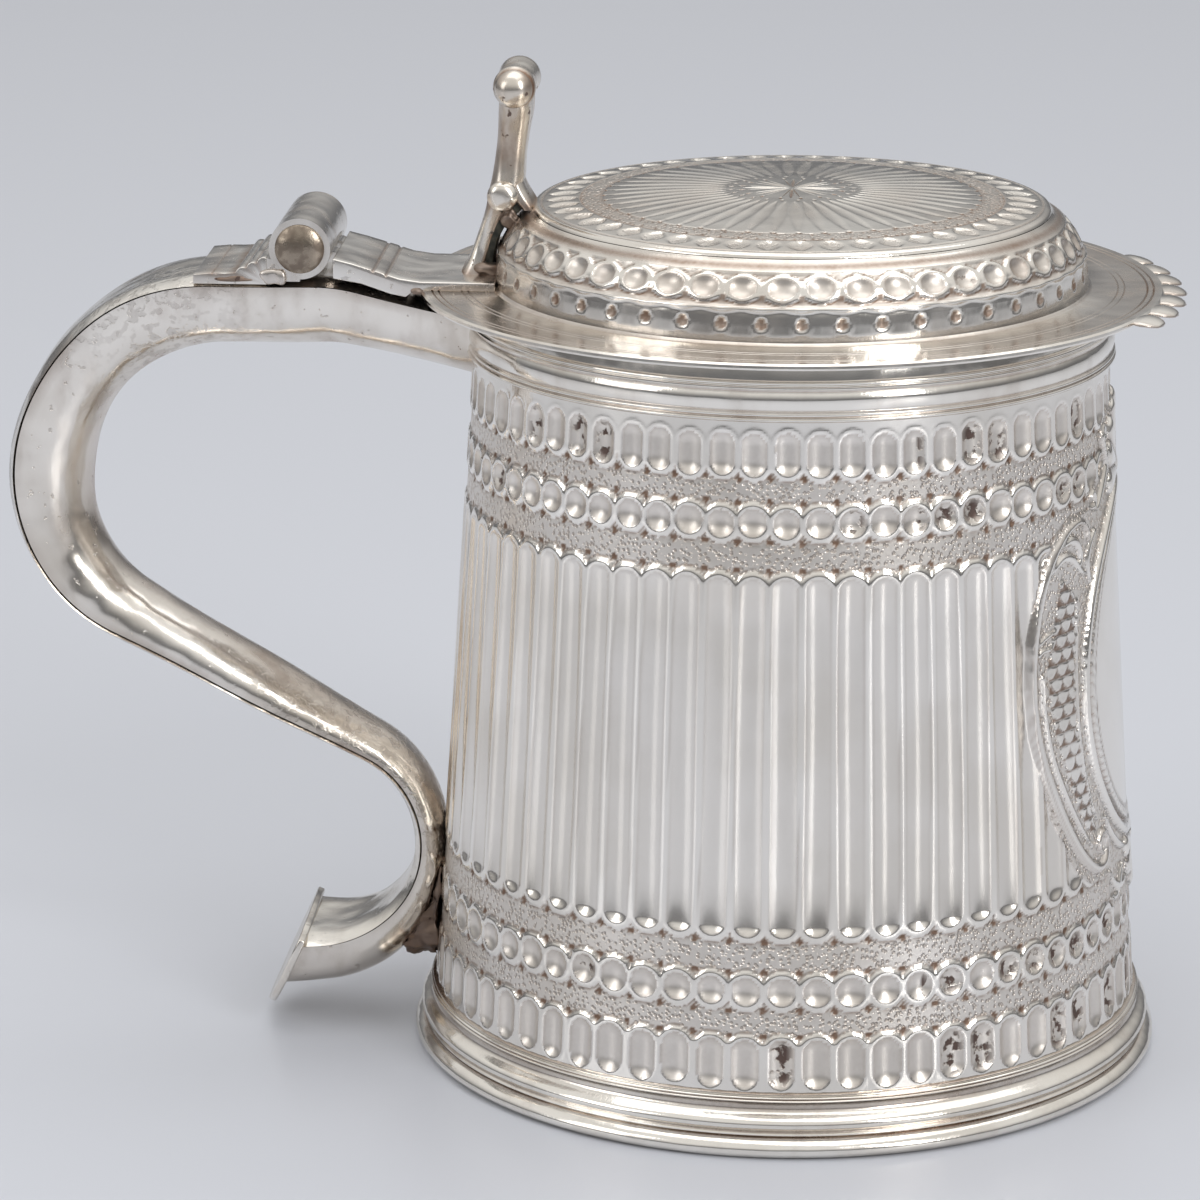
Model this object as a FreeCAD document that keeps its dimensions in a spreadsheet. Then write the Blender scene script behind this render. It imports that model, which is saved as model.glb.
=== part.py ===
import FreeCAD, Part
import math
import os
import Sketcher

# A covered silver tankard.  Millimetres.  +Z is up along the axis of the barrel, +X points to the
# front (the thumb lip of the cover), the handle and the hinge are towards -X, and the hinge pin
# lies along Y.  The origin is the centre of the foot, on the plane that the foot rests on.

doc = FreeCAD.newDocument("tankard")
sheet = doc.addObject("Spreadsheet::Sheet", "dimensions")

VALUES = [
    # barrel: a straight-sided cone, open at the top
    ("barrel_base_radius", 61.9, "outer radius of the barrel's cone where it would meet the table"),
    ("barrel_taper", 0.0647, "radius lost per millimetre of height"),
    ("rim_height", 132.4, "height of the drinking rim"),
    ("barrel_wall", 1.2, "thickness of the barrel wall"),
    ("base_height", 9.4, "height of the inside floor"),
    ("base_thickness", 1.4, "thickness of the base disc"),
    # foot: three rings, one on the other
    ("foot_proud", 3.1, "how far the foot stands out from the barrel's cone"),
    ("foot_wire_height", 3.5, "height of the bottom ring"),
    ("foot_wire_width", 6.4, "width of the bottom ring"),
    ("foot_wire_bulge", 0.9, "swell of the bottom ring's edge"),
    ("foot_ogee_height", 5.6, "height of the middle ring"),
    ("foot_ogee_step", 1.1, "how far the middle ring stands in from the bottom one"),
    ("foot_collar_height", 1.5, "height of the top ring"),
    ("foot_collar_proud", 1.3, "how far the top ring stands out from the barrel"),
    # reeded band below the rim
    ("rim_band_drop", 3.4, "plain strip between the rim and the reeded band"),
    ("rim_band_height", 6.6, "height of the reeded band"),
    ("rim_band_proud", 1.6, "how far the band stands out from the barrel"),
    ("rim_reed_bulge", 0.5, "swell of each reed of the band"),
    # cover
    ("cover_gap", 0.2, "gap between the rim and the closed cover"),
    ("flange_overhang", 9.67, "how far the flat flange stands out from the rim"),
    ("flange_width", 12.8, "width of the flange outside the crown"),
    ("flange_thickness", 1.2, "thickness of the flange"),
    ("crown_inset", 7.0, "how far the top's edge stands in from the crown's foot"),
    ("crown_flare", 0.7, "flare of the plain band at the foot of the crown"),
    ("crown_height", 13.8, "height of the top's edge above the flange"),
    ("crown_dome", 2.4, "rise of the top from its edge to its centre"),
    ("crown_bulge", 0.9, "swell of the crown's side"),
    ("crown_hollow", 0.6, "depth of the hollow band under the crown's top edge"),
    ("crown_wall", 1.1, "thickness of the crown"),
    ("bezel_height", 4.6, "depth of the locating ring below the flange"),
    ("bezel_wall", 1.0, "thickness of the locating ring"),
    ("bezel_clearance", 0.8, "radial gap between the locating ring and the barrel"),
    ("lip_reach", 3.6, "how far the finger lip stands out from the flange"),
    ("lip_finger_width", 5.6, "width of one finger of the lip"),
    ("lip_finger_round", 2.3, "height of the rounded end of a finger"),
    ("lip_finger_pitch", 7.5, "angle between fingers, degrees"),
    ("lip_finger_count", 7, "number of fingers"),
    # handle: its outer line is made of tangent arcs and straight lines
    ("handle_rise", 2.6, "height of the flat top of the handle above the rim"),
    ("handle_offset", 51.1, "distance from the hinge pin to the outermost point of the handle"),
    ("shoulder_radius", 36.2, "radius of the shoulder"),
    ("heel_radius", 31.3, "radius below the outermost point"),
    ("knee_radius", 16.6, "radius of the lower curve, which touches the barrel"),
    ("knee_height", 34.0, "height of the centre of the lower curve"),
    ("tail_reach", 14.0, "length of the tail past the bottom of the lower curve"),
    ("root_angle", 14.0, "slope of the handle where it leaves the barrel, degrees"),
    ("root_radius", 30.0, "radius between that slope and the flat top"),
    ("root_lead", 2.3, "flat stretch of the handle in front of the hinge pin"),
    ("strap_thickness", 1.4, "thickness of the flat outer strap"),
    ("belly_wall", 1.2, "wall of the rounded inner half"),
    ("belly_inset", 0.6, "how far the strap overhangs the belly at each side"),
    ("width_root", 22.0, "handle width at the barrel"),
    ("width_hinge", 24.0, "handle width under the hinge"),
    ("width_back", 22.0, "handle width at the outermost point"),
    ("width_heel", 20.0, "handle width where the lower slope starts"),
    ("width_calf", 18.0, "handle width where the lower slope ends"),
    ("width_knee", 17.0, "handle width where it touches the barrel"),
    ("width_neck", 17.4, "handle width below that, where the tail starts"),
    ("width_tail", 27.0, "handle width at the flared tail"),
    ("depth_root", 11.8, "handle depth at the barrel"),
    ("depth_hinge", 13.0, "handle depth under the hinge"),
    ("depth_back", 13.4, "handle depth at the outermost point"),
    ("depth_heel", 9.2, "handle depth where the lower slope starts"),
    ("depth_calf", 5.2, "handle depth where the lower slope ends"),
    ("depth_knee", 4.6, "handle depth where it touches the barrel"),
    ("depth_neck", 7.0, "handle depth below that, where the tail starts"),
    ("depth_tail", 11.0, "handle depth at the tail"),
    ("end_plate_thickness", 1.3, "thickness of the plate that closes the tail"),
    ("end_plate_lean", 25.0, "lean of the end plate from upright, degrees"),
    ("end_plate_length", 17.6, "length of the end plate from its top edge to its point"),
    ("end_plate_width", 28.4, "width of the end plate"),
    ("end_plate_proud", 0.5, "how far the end plate's top edge stands above the strap"),
    ("pad_width", 13.0, "width of the pad between the handle and the barrel"),
    ("pad_length", 21.0, "height of the pad"),
    ("pad_drop", 1.5, "how far the pad's top is below the centre of the lower curve"),
    # hinge
    ("hinge_offset", 19.3, "distance from the edge of the flange to the hinge pin"),
    ("knuckle_radius", 5.2, "outer radius of the knuckles"),
    ("pin_radius", 1.9, "radius of the hinge pin"),
    ("pin_clearance", 0.05, "radial gap between the pin and the knuckles that turn on it"),
    ("hinge_width", 24.0, "length of the hinge"),
    ("knuckle_gap", 0.3, "gap between one knuckle and the next"),
    ("hinge_clearance", 0.4, "gap between the turning knuckles and the handle"),
    ("cap_radius", 3.8, "radius of the domed caps over the ends of the pin"),
    ("cap_height", 1.7, "height of the domed caps"),
    ("plate_thickness", 1.5, "thickness of the plate on the handle"),
    ("plate_length", 12.6, "length of the plate behind the knuckles"),
    ("plate_rise", 4.0, "height of the reeded end of the plate"),
    ("plate_reed_bulge", 0.4, "swell of each reed of the plate"),
    ("leaf_thickness", 1.4, "thickness of the leaf on the cover"),
    ("leaf_rise", 3.8, "rise of the leaf from the flange to the knuckles"),
    # thumbpiece
    ("thumb_height", 36.4, "height of the thumbpiece above the leaf"),
    ("thumb_setback", 7.8, "distance from the edge of the flange to the thumbpiece's foot"),
    ("thumb_width", 11.0, "width of the thumbpiece's stem"),
    ("thumb_roll_width", 18.0, "width of the thumbpiece's top roll"),
    ("thumb_volute_width", 14.0, "width of the thumbpiece's lower roll"),
]

for row, (alias, value, meaning) in enumerate(VALUES, start=1):
    sheet.set("A%d" % row, alias)
    sheet.set("B%d" % row, str(value))
    sheet.set("C%d" % row, meaning)
    sheet.setAlias("B%d" % row, alias)
doc.recompute()


def size(expression):
    """The value of an expression of the sheet's names."""
    result = sheet.evalExpression(expression)
    return float(getattr(result, "Value", result))


def bound(expression):
    """The same expression as another object writes it."""
    text = expression
    names = sorted((alias for alias, _, _ in VALUES), key=len, reverse=True)
    for index, alias in enumerate(names):
        text = text.replace(alias, "{%d}" % index)
    return text.format(*["dimensions." + alias for alias in names])


# Heights and radii that more than one piece meets at, worked out from the sheet.
OUTER = "(barrel_base_radius - barrel_taper * (%s))"
BARREL_BOTTOM = "foot_wire_height"
FOOT_RADIUS = "(barrel_base_radius + foot_proud)"
FOOT_TOP = "(foot_wire_height + foot_ogee_height)"
COLLAR_TOP = "(foot_wire_height + foot_ogee_height + foot_collar_height)"
BAND_TOP = "(rim_height - rim_band_drop)"
BAND_BOTTOM = "(rim_height - rim_band_drop - rim_band_height)"
FLANGE_LOW = "(rim_height + cover_gap)"
FLANGE_TOP = "(rim_height + cover_gap + flange_thickness)"
FLANGE_RADIUS = "(barrel_base_radius - barrel_taper * rim_height + flange_overhang)"
CROWN_FOOT = "(%s - flange_width)" % FLANGE_RADIUS
CROWN_EDGE = "(%s - flange_width - crown_inset)" % FLANGE_RADIUS
CROWN_TOP = "(rim_height + cover_gap + flange_thickness + crown_height)"
LEAF_TOP = "(rim_height + cover_gap + flange_thickness + leaf_thickness)"
BEZEL_RADIUS = "(barrel_base_radius - barrel_taper * rim_height - barrel_wall - bezel_clearance)"
HANDLE_TOP = "(rim_height + handle_rise)"
PIN_HEIGHT = "(rim_height + handle_rise + hinge_clearance + knuckle_radius)"
PIN_X = "(-%s - hinge_offset)" % FLANGE_RADIUS
PLATE_END = "(-%s - hinge_offset - knuckle_radius - hinge_clearance)" % FLANGE_RADIUS
LEAF_END = "(-%s - hinge_offset + knuckle_radius + hinge_clearance)" % FLANGE_RADIUS
THUMB_BACK = "(-%s + thumb_setback)" % FLANGE_RADIUS


def new_body(label):
    body = doc.addObject("PartDesign::Body", label)
    body.Label = label
    return body


def plane_of(body, role):
    for feature in body.Origin.OriginFeatures:
        if feature.Role == role:
            return feature
    raise RuntimeError("no plane " + role)


def outline(body, name, corners, role="XZ_Plane", bulges=None):
    """A closed sketch whose corners are bound to the sheet.

    corners are pairs of expressions, counter-clockwise.  bulges gives, for the side that starts
    at a corner, the height of its arc as an expression, positive where it swells outwards.
    """
    bulges = bulges or {}
    sketch = body.newObject("Sketcher::SketchObject", name)
    sketch.AttachmentSupport = [(plane_of(body, role), "")]
    sketch.MapMode = "FlatFace"
    points = [FreeCAD.Vector(size(across), size(up), 0) for across, up in corners]
    count = len(points)
    start_vertex = {}
    for index in range(count):
        start = points[index]
        end = points[(index + 1) % count]
        if index in bulges:
            chord = end.sub(start)
            outward = FreeCAD.Vector(chord.y, -chord.x, 0).normalize()
            crest = start.add(end).multiply(0.5).add(outward.multiply(size(bulges[index])))
            ends = (start, end) if size(bulges[index]) > 0 else (end, start)
            sketch.addGeometry(Part.ArcOfCircle(ends[0], crest, ends[1]), False)
        else:
            sketch.addGeometry(Part.LineSegment(start, end), False)
        at_start = (sketch.Geometry[index].StartPoint - start).Length < 1e-6
        start_vertex[index] = 1 if at_start else 2
    for index in range(count):
        following = (index + 1) % count
        sketch.addConstraint(Sketcher.Constraint(
            "Coincident", index, 3 - start_vertex[index], following, start_vertex[following]))
    for index, corner in enumerate(corners):
        for kind, expression in zip(("DistanceX", "DistanceY"), corner):
            number = sketch.addConstraint(Sketcher.Constraint(
                kind, -1, 1, index, start_vertex[index], size(expression)))
            sketch.setExpression("Constraints[%d]" % number, bound(expression))
    for index, bulge in bulges.items():
        (across, up), (next_across, next_up) = corners[index], corners[(index + 1) % count]
        radius = "abs((((%s) - (%s)) ^ 2 + ((%s) - (%s)) ^ 2) / (8 * (%s)) + (%s) / 2)" % (
            next_across, across, next_up, up, bulge, bulge)
        number = sketch.addConstraint(Sketcher.Constraint("Radius", index, size(radius)))
        sketch.setExpression("Constraints[%d]" % number, bound(radius))
    return sketch


def turned(label, corners, bulges=None):
    """A piece turned about the axis of the barrel from a half section."""
    body = new_body(label)
    sketch = outline(body, label + "_section", corners, bulges=bulges)
    turn = body.newObject("PartDesign::Revolution", label + "_turn")
    turn.Profile = sketch
    turn.ReferenceAxis = (sketch, ["V_Axis"])
    turn.Angle = 360.0
    return body


def slab(body, name, sketch, width):
    """A symmetric pad of a sketch, on both sides of its plane."""
    pad = body.newObject("PartDesign::Pad", name)
    pad.Profile = sketch
    pad.SideType = "Symmetric"
    pad.setExpression("Length", bound(width))
    return pad


# ---------------------------------------------------------------- barrel and foot

barrel = turned("body_barrel", [
    (OUTER % BARREL_BOTTOM + " - barrel_wall", BARREL_BOTTOM),
    (OUTER % BARREL_BOTTOM, BARREL_BOTTOM),
    (OUTER % "rim_height", "rim_height"),
    (OUTER % "rim_height" + " - barrel_wall", "rim_height"),
])

base = turned("base_disc", [
    ("0", "base_height - base_thickness"),
    (OUTER % "(base_height - base_thickness)" + " - barrel_wall", "base_height - base_thickness"),
    (OUTER % "base_height" + " - barrel_wall", "base_height"),
    ("0", "base_height"),
])

foot_wire = turned("foot_base_wire", [
    (FOOT_RADIUS + " - foot_wire_width", "0"),
    (FOOT_RADIUS + " - foot_wire_bulge", "0"),
    (FOOT_RADIUS + " - foot_wire_bulge", "foot_wire_height"),
    (FOOT_RADIUS + " - foot_wire_width", "foot_wire_height"),
], bulges={1: "foot_wire_bulge"})

OGEE_EDGE = FOOT_RADIUS + " - foot_ogee_step - foot_wire_bulge"
OGEE_WAIST = OUTER % FOOT_TOP + " + foot_collar_proud * 0.5"
OGEE_BREAK = "foot_wire_height + foot_ogee_height * 0.6"
foot_ogee = turned("foot_moulding", [
    (OUTER % "foot_wire_height", "foot_wire_height"),
    (OGEE_EDGE, "foot_wire_height"),
    (OGEE_EDGE, OGEE_BREAK),
    (OGEE_WAIST, FOOT_TOP),
    (OUTER % FOOT_TOP, FOOT_TOP),
], bulges={1: "foot_wire_bulge", 2: "foot_ogee_height * -0.12"})

foot_collar = turned("foot_collar", [
    (OUTER % FOOT_TOP, FOOT_TOP),
    (OUTER % FOOT_TOP + " + foot_collar_proud * 0.6", FOOT_TOP),
    (OUTER % FOOT_TOP + " + foot_collar_proud * 0.6", COLLAR_TOP),
    (OUTER % COLLAR_TOP, COLLAR_TOP),
], bulges={1: "foot_collar_proud * 0.4"})

reed_corners = [(OUTER % BAND_BOTTOM, BAND_BOTTOM)]
REEDS = 4
for number in range(REEDS + 1):
    height = "(%s + rim_band_height * %d / %d)" % (BAND_BOTTOM, number, REEDS)
    reed_corners.append((OUTER % height + " + rim_band_proud - rim_reed_bulge", height))
reed_corners.append((OUTER % BAND_TOP, BAND_TOP))
rim_band = turned("rim_moulding", reed_corners, bulges={
    number: "rim_reed_bulge" for number in range(1, REEDS + 1)})

# ---------------------------------------------------------------- cover

WAIST_RADIUS = "(%s + crown_inset * 0.45)" % CROWN_EDGE
WAIST_HEIGHT = "(%s - crown_height * 0.22)" % CROWN_TOP
BULGE_RADIUS = "(%s - crown_flare)" % CROWN_FOOT
BULGE_HEIGHT = "(%s - crown_height * 0.62)" % CROWN_TOP
TOP_CHORD = "sqrt(%s ^ 2 + crown_dome ^ 2)" % CROWN_EDGE
TOP_BULGE = "%s * (%s - %s) / (crown_dome * 2)" % (TOP_CHORD, TOP_CHORD, CROWN_EDGE)
crown = turned("cover_crown", [
    ("0", CROWN_TOP + " + crown_dome - crown_wall"),
    (CROWN_EDGE + " - crown_wall", CROWN_TOP + " - crown_wall"),
    (WAIST_RADIUS + " - crown_wall", WAIST_HEIGHT + " - crown_wall"),
    (BULGE_RADIUS + " - crown_wall", BULGE_HEIGHT),
    (CROWN_FOOT + " - crown_wall", FLANGE_TOP),
    (CROWN_FOOT, FLANGE_TOP),
    (BULGE_RADIUS, BULGE_HEIGHT),
    (WAIST_RADIUS, WAIST_HEIGHT),
    (CROWN_EDGE, CROWN_TOP),
    ("0", CROWN_TOP + " + crown_dome"),
], bulges={6: "crown_bulge", 7: "crown_hollow * -1", 8: TOP_BULGE})

bezel = turned("cover_bezel", [
    (BEZEL_RADIUS + " - bezel_wall", FLANGE_LOW + " - bezel_height"),
    (BEZEL_RADIUS, FLANGE_LOW + " - bezel_height"),
    (BEZEL_RADIUS, FLANGE_LOW),
    (BEZEL_RADIUS + " - bezel_wall", FLANGE_LOW),
])

flange = turned("cover_flange", [
    (CROWN_FOOT + " - crown_wall", FLANGE_LOW),
    (FLANGE_RADIUS + " - flange_thickness * 0.3", FLANGE_LOW),
    (FLANGE_RADIUS + " - flange_thickness * 0.3", FLANGE_TOP),
    (CROWN_FOOT + " - crown_wall", FLANGE_TOP),
], bulges={1: "flange_thickness * 0.3"})
FINGER_END = FLANGE_RADIUS + " + lip_reach - lip_finger_round"
finger_sketch = outline(flange, "finger_outline", [
    (FLANGE_RADIUS + " - 2", "-lip_finger_width / 2"),
    (FINGER_END, "-lip_finger_width / 2"),
    (FINGER_END, "lip_finger_width / 2"),
    (FLANGE_RADIUS + " - 2", "lip_finger_width / 2"),
], role="XY_Plane", bulges={1: "lip_finger_round"})
finger_sketch.setExpression("AttachmentOffset.Base.z", bound(FLANGE_LOW))
finger = flange.newObject("PartDesign::Pad", "finger_pad")
finger.Profile = finger_sketch
finger.setExpression("Length", bound("flange_thickness"))
doc.recompute()
fingers = flange.newObject("PartDesign::PolarPattern", "finger_pattern")
fingers.Originals = [finger]
fingers.Axis = (finger_sketch, ["N_Axis"])
fingers.setExpression("Occurrences", bound("lip_finger_count"))
fingers.setExpression("Angle", bound("lip_finger_pitch * (lip_finger_count - 1)"))
flange.Tip = fingers
flange.Placement.Rotation = FreeCAD.Rotation(FreeCAD.Vector(0, 0, 1), 0)
flange.setExpression("Placement.Rotation.Angle",
                     bound("-lip_finger_pitch * (lip_finger_count - 1) / 2"))

# ---------------------------------------------------------------- hinge

plate = new_body("hinge_plate")
PLATE_REEDS = 3
REED_SPAN = "(plate_length * 0.42)"
plate_corners = [
    (PLATE_END + " - plate_length", HANDLE_TOP),
    (PLATE_END, HANDLE_TOP),
]
for number in range(PLATE_REEDS + 1):
    plate_corners.append((
        PLATE_END + " - %s * %d / %d" % (REED_SPAN, number, PLATE_REEDS),
        HANDLE_TOP + " + plate_rise - (plate_rise - plate_thickness) * %d / %d" % (
            number, PLATE_REEDS)))
plate_corners.append((PLATE_END + " - plate_length", HANDLE_TOP + " + plate_thickness"))
plate_sketch = outline(plate, "plate_section", plate_corners, bulges={
    number: "plate_reed_bulge" for number in range(2, 2 + PLATE_REEDS)})
slab(plate, "plate_pad", plate_sketch, "hinge_width")


def knuckle(label, number, lug_corners, bore):
    """One knuckle of the five, with the lug that joins it to its plate or leaf."""
    body = new_body(label)
    width = "(hinge_width / 5 - knuckle_gap)"
    middle = "(hinge_width / 5 * (%d))" % (number - 2)
    tube_sketch = body.newObject("Sketcher::SketchObject", label + "_circle")
    tube_sketch.AttachmentSupport = [(plane_of(body, "XZ_Plane"), "")]
    tube_sketch.MapMode = "FlatFace"
    centre = FreeCAD.Vector(size(PIN_X), size(PIN_HEIGHT), 0)
    tube_sketch.addGeometry(
        Part.Circle(centre, FreeCAD.Vector(0, 0, 1), size("knuckle_radius")), False)
    for kind, expression in (("DistanceX", PIN_X), ("DistanceY", PIN_HEIGHT)):
        index = tube_sketch.addConstraint(
            Sketcher.Constraint(kind, -1, 1, 0, 3, size(expression)))
        tube_sketch.setExpression("Constraints[%d]" % index, bound(expression))
    index = tube_sketch.addConstraint(Sketcher.Constraint("Radius", 0, size("knuckle_radius")))
    tube_sketch.setExpression("Constraints[%d]" % index, bound("knuckle_radius"))
    tube_sketch.setExpression("AttachmentOffset.Base.z", bound("-" + middle))
    slab(body, label + "_tube", tube_sketch, width)
    lug_sketch = outline(body, label + "_lug_outline", lug_corners)
    lug_sketch.setExpression("AttachmentOffset.Base.z", bound("-" + middle))
    slab(body, label + "_lug", lug_sketch, width)
    doc.recompute()
    bore_sketch = body.newObject("Sketcher::SketchObject", label + "_bore_circle")
    bore_sketch.AttachmentSupport = [(plane_of(body, "XZ_Plane"), "")]
    bore_sketch.MapMode = "FlatFace"
    bore_sketch.addGeometry(Part.Circle(centre, FreeCAD.Vector(0, 0, 1), size(bore)), False)
    for kind, expression in (("DistanceX", PIN_X), ("DistanceY", PIN_HEIGHT)):
        index = bore_sketch.addConstraint(
            Sketcher.Constraint(kind, -1, 1, 0, 3, size(expression)))
        bore_sketch.setExpression("Constraints[%d]" % index, bound(expression))
    index = bore_sketch.addConstraint(Sketcher.Constraint("Radius", 0, size(bore)))
    bore_sketch.setExpression("Constraints[%d]" % index, bound(bore))
    hole = body.newObject("PartDesign::Pocket", label + "_bore")
    hole.Profile = bore_sketch
    hole.SideType = "Symmetric"
    hole.setExpression("Length", bound("hinge_width * 3"))
    return body


fixed_lug = [
    (PLATE_END, HANDLE_TOP),
    (PIN_X, HANDLE_TOP),
    (PIN_X, PIN_HEIGHT + " - knuckle_radius * 0.7"),
    (PLATE_END, HANDLE_TOP + " + plate_rise"),
]
LEAF_HIGH = "(%s + leaf_rise)" % LEAF_TOP
cover_lug = [
    (PIN_X + " + knuckle_radius * 0.7", LEAF_HIGH + " - leaf_thickness * 1.1"),
    (LEAF_END, LEAF_HIGH + " - leaf_thickness * 1.1"),
    (LEAF_END, LEAF_HIGH),
    (PIN_X + " + knuckle_radius * 0.7", LEAF_HIGH + " + 0.6"),
]
TURNING_BORE = "(pin_radius + pin_clearance)"
for number, label in enumerate(("fixed_knuckle_right", "cover_knuckle_right",
                                "fixed_knuckle_middle", "cover_knuckle_left",
                                "fixed_knuckle_left")):
    if label.startswith("cover"):
        knuckle(label, number, cover_lug, TURNING_BORE)
    else:
        knuckle(label, number, fixed_lug, "pin_radius")

pin = doc.addObject("Part::Cylinder", "hinge_pin")
pin.Label = "hinge_pin"
pin.setExpression("Radius", bound("pin_radius"))
pin.setExpression("Height", bound("hinge_width - knuckle_gap"))
pin.Placement.Rotation = FreeCAD.Rotation(FreeCAD.Vector(1, 0, 0), -90)
pin.setExpression("Placement.Base.x", bound(PIN_X))
pin.setExpression("Placement.Base.y", bound("-(hinge_width - knuckle_gap) / 2"))
pin.setExpression("Placement.Base.z", bound(PIN_HEIGHT))


DOME_CHORD = "sqrt(cap_radius ^ 2 + (cap_height * 0.75) ^ 2)"
DOME_BULGE = "%s * (%s - cap_radius) / (cap_height * 1.5)" % (DOME_CHORD, DOME_CHORD)


def pin_cap(label, side):
    """A low dome over one end of the pin."""
    body = new_body(label)
    sketch = outline(body, label + "_section", [
        ("0", "0"),
        ("cap_radius", "0"),
        ("cap_radius", "cap_height * 0.25"),
        ("0", "cap_height"),
    ], bulges={2: DOME_BULGE})
    turn = body.newObject("PartDesign::Revolution", label + "_turn")
    turn.Profile = sketch
    turn.ReferenceAxis = (sketch, ["V_Axis"])
    turn.Angle = 360.0
    body.Placement.Rotation = FreeCAD.Rotation(FreeCAD.Vector(1, 0, 0), -90 * side)
    body.setExpression("Placement.Base.x", bound(PIN_X))
    body.setExpression("Placement.Base.y", bound("%d * (hinge_width - knuckle_gap) / 2" % side))
    body.setExpression("Placement.Base.z", bound(PIN_HEIGHT))


pin_cap("pin_cap_right", -1)
pin_cap("pin_cap_left", 1)

leaf = new_body("cover_leaf")
leaf_sketch = outline(leaf, "leaf_section", [
    (LEAF_END, LEAF_HIGH + " - leaf_thickness * 1.1"),
    ("-%s - leaf_thickness" % FLANGE_RADIUS, FLANGE_TOP + " - flange_thickness * 0.4"),
    ("-" + FLANGE_RADIUS, FLANGE_TOP),
    ("-%s + crown_inset * 0.5" % CROWN_FOOT, FLANGE_TOP),
    ("-%s + crown_inset * 0.5" % CROWN_FOOT, LEAF_TOP),
    ("-%s + leaf_thickness" % FLANGE_RADIUS, LEAF_TOP),
    (LEAF_END, LEAF_HIGH),
])
slab(leaf, "leaf_pad", leaf_sketch, "hinge_width")
doc.recompute()
seat = leaf.newObject("Sketcher::SketchObject", "crown_seat")
seat.AttachmentSupport = [(plane_of(leaf, "XY_Plane"), "")]
seat.MapMode = "FlatFace"
seat.addGeometry(Part.Circle(FreeCAD.Vector(0, 0, 0), FreeCAD.Vector(0, 0, 1),
                             size(CROWN_FOOT)), False)
seat.addConstraint(Sketcher.Constraint("Coincident", 0, 3, -1, 1))
seat_radius = seat.addConstraint(Sketcher.Constraint("Radius", 0, size(CROWN_FOOT)))
seat.setExpression("Constraints[%d]" % seat_radius, bound(CROWN_FOOT))
seat_cut = leaf.newObject("PartDesign::Pocket", "crown_seat_cut")
seat_cut.Profile = seat
seat_cut.SideType = "Symmetric"
seat_cut.setExpression("Length", bound("rim_height * 3"))

# ---------------------------------------------------------------- thumbpiece, one casting

thumb = new_body("thumbpiece")
THUMB_RISE = "(%s + thumb_height * (%s))"


def thumb_corner(inward, rise):
    """A corner of the side view: distance in from the back of the foot, and share of height."""
    return ("%s + %s" % (THUMB_BACK, inward), THUMB_RISE % (LEAF_TOP, rise))


CROWN_TOUCH = ("-%s - crown_hollow" % CROWN_EDGE, CROWN_TOP + " - crown_hollow")
thumb_sketch = outline(thumb, "stem_outline", [
    thumb_corner("0", "0"),
    thumb_corner("2.6", "0"),
    thumb_corner("3.4", "0.12"),
    thumb_corner("6.6", "0.31"),
    CROWN_TOUCH,
    thumb_corner("10.6", "0.37"),
    thumb_corner("9.8", "0.57"),
    thumb_corner("12.4", "0.78"),
    thumb_corner("12.6", "0.92"),
    thumb_corner("10.0", "0.998"),
    thumb_corner("6.6", "0.95"),
    thumb_corner("5.2", "0.80"),
    thumb_corner("5.8", "0.57"),
    thumb_corner("4.6", "0.40"),
    thumb_corner("2.4", "0.22"),
])
slab(thumb, "stem_pad", thumb_sketch, "thumb_width")


def roll(name, inward, rise, radius, width):
    """A roll across the thumbpiece, its round end showing at each side."""
    sketch = thumb.newObject("Sketcher::SketchObject", name + "_circle")
    sketch.AttachmentSupport = [(plane_of(thumb, "XZ_Plane"), "")]
    sketch.MapMode = "FlatFace"
    across, up = thumb_corner(inward, rise)
    centre = FreeCAD.Vector(size(across), size(up), 0)
    sketch.addGeometry(Part.Circle(centre, FreeCAD.Vector(0, 0, 1), size(radius)), False)
    for kind, expression in (("DistanceX", across), ("DistanceY", up)):
        index = sketch.addConstraint(Sketcher.Constraint(kind, -1, 1, 0, 3, size(expression)))
        sketch.setExpression("Constraints[%d]" % index, bound(expression))
    index = sketch.addConstraint(Sketcher.Constraint("Radius", 0, size(radius)))
    sketch.setExpression("Constraints[%d]" % index, bound(radius))
    slab(thumb, name, sketch, width)


roll("top_roll", "8.6", "0.855", "thumb_height * 0.075", "thumb_roll_width")
roll("lower_roll", "6.9", "0.37", "thumb_height * 0.062", "thumb_volute_width")
doc.recompute()

# ---------------------------------------------------------------- handle

V = FreeCAD.Vector
QUARTER = math.pi / 2


class HandleLine:
    """The outer line of the handle in the XZ plane: straight lines and tangent arcs."""

    def __init__(self, x, z, heading):
        self.x = x
        self.z = z
        self.heading = heading
        self.pieces = []

    def run(self, length, turn=0.0):
        """Adds a stretch that turns evenly by turn radians, to the left where it is positive."""
        self.pieces.append((self.x, self.z, self.heading, length, turn))
        self.x, self.z, self.heading = self.along(len(self.pieces) - 1, 1.0)

    def along(self, number, share):
        """The point and the heading at a share of the length of one stretch."""
        x, z, heading, length, turn = self.pieces[number]
        turned_by = turn * share
        chord = length * share
        if abs(turned_by) > 1e-9:
            chord *= math.sin(turned_by / 2) / (turned_by / 2)
        direction = heading + turned_by / 2
        return x + chord * math.cos(direction), z + chord * math.sin(direction), heading + turned_by


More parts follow.
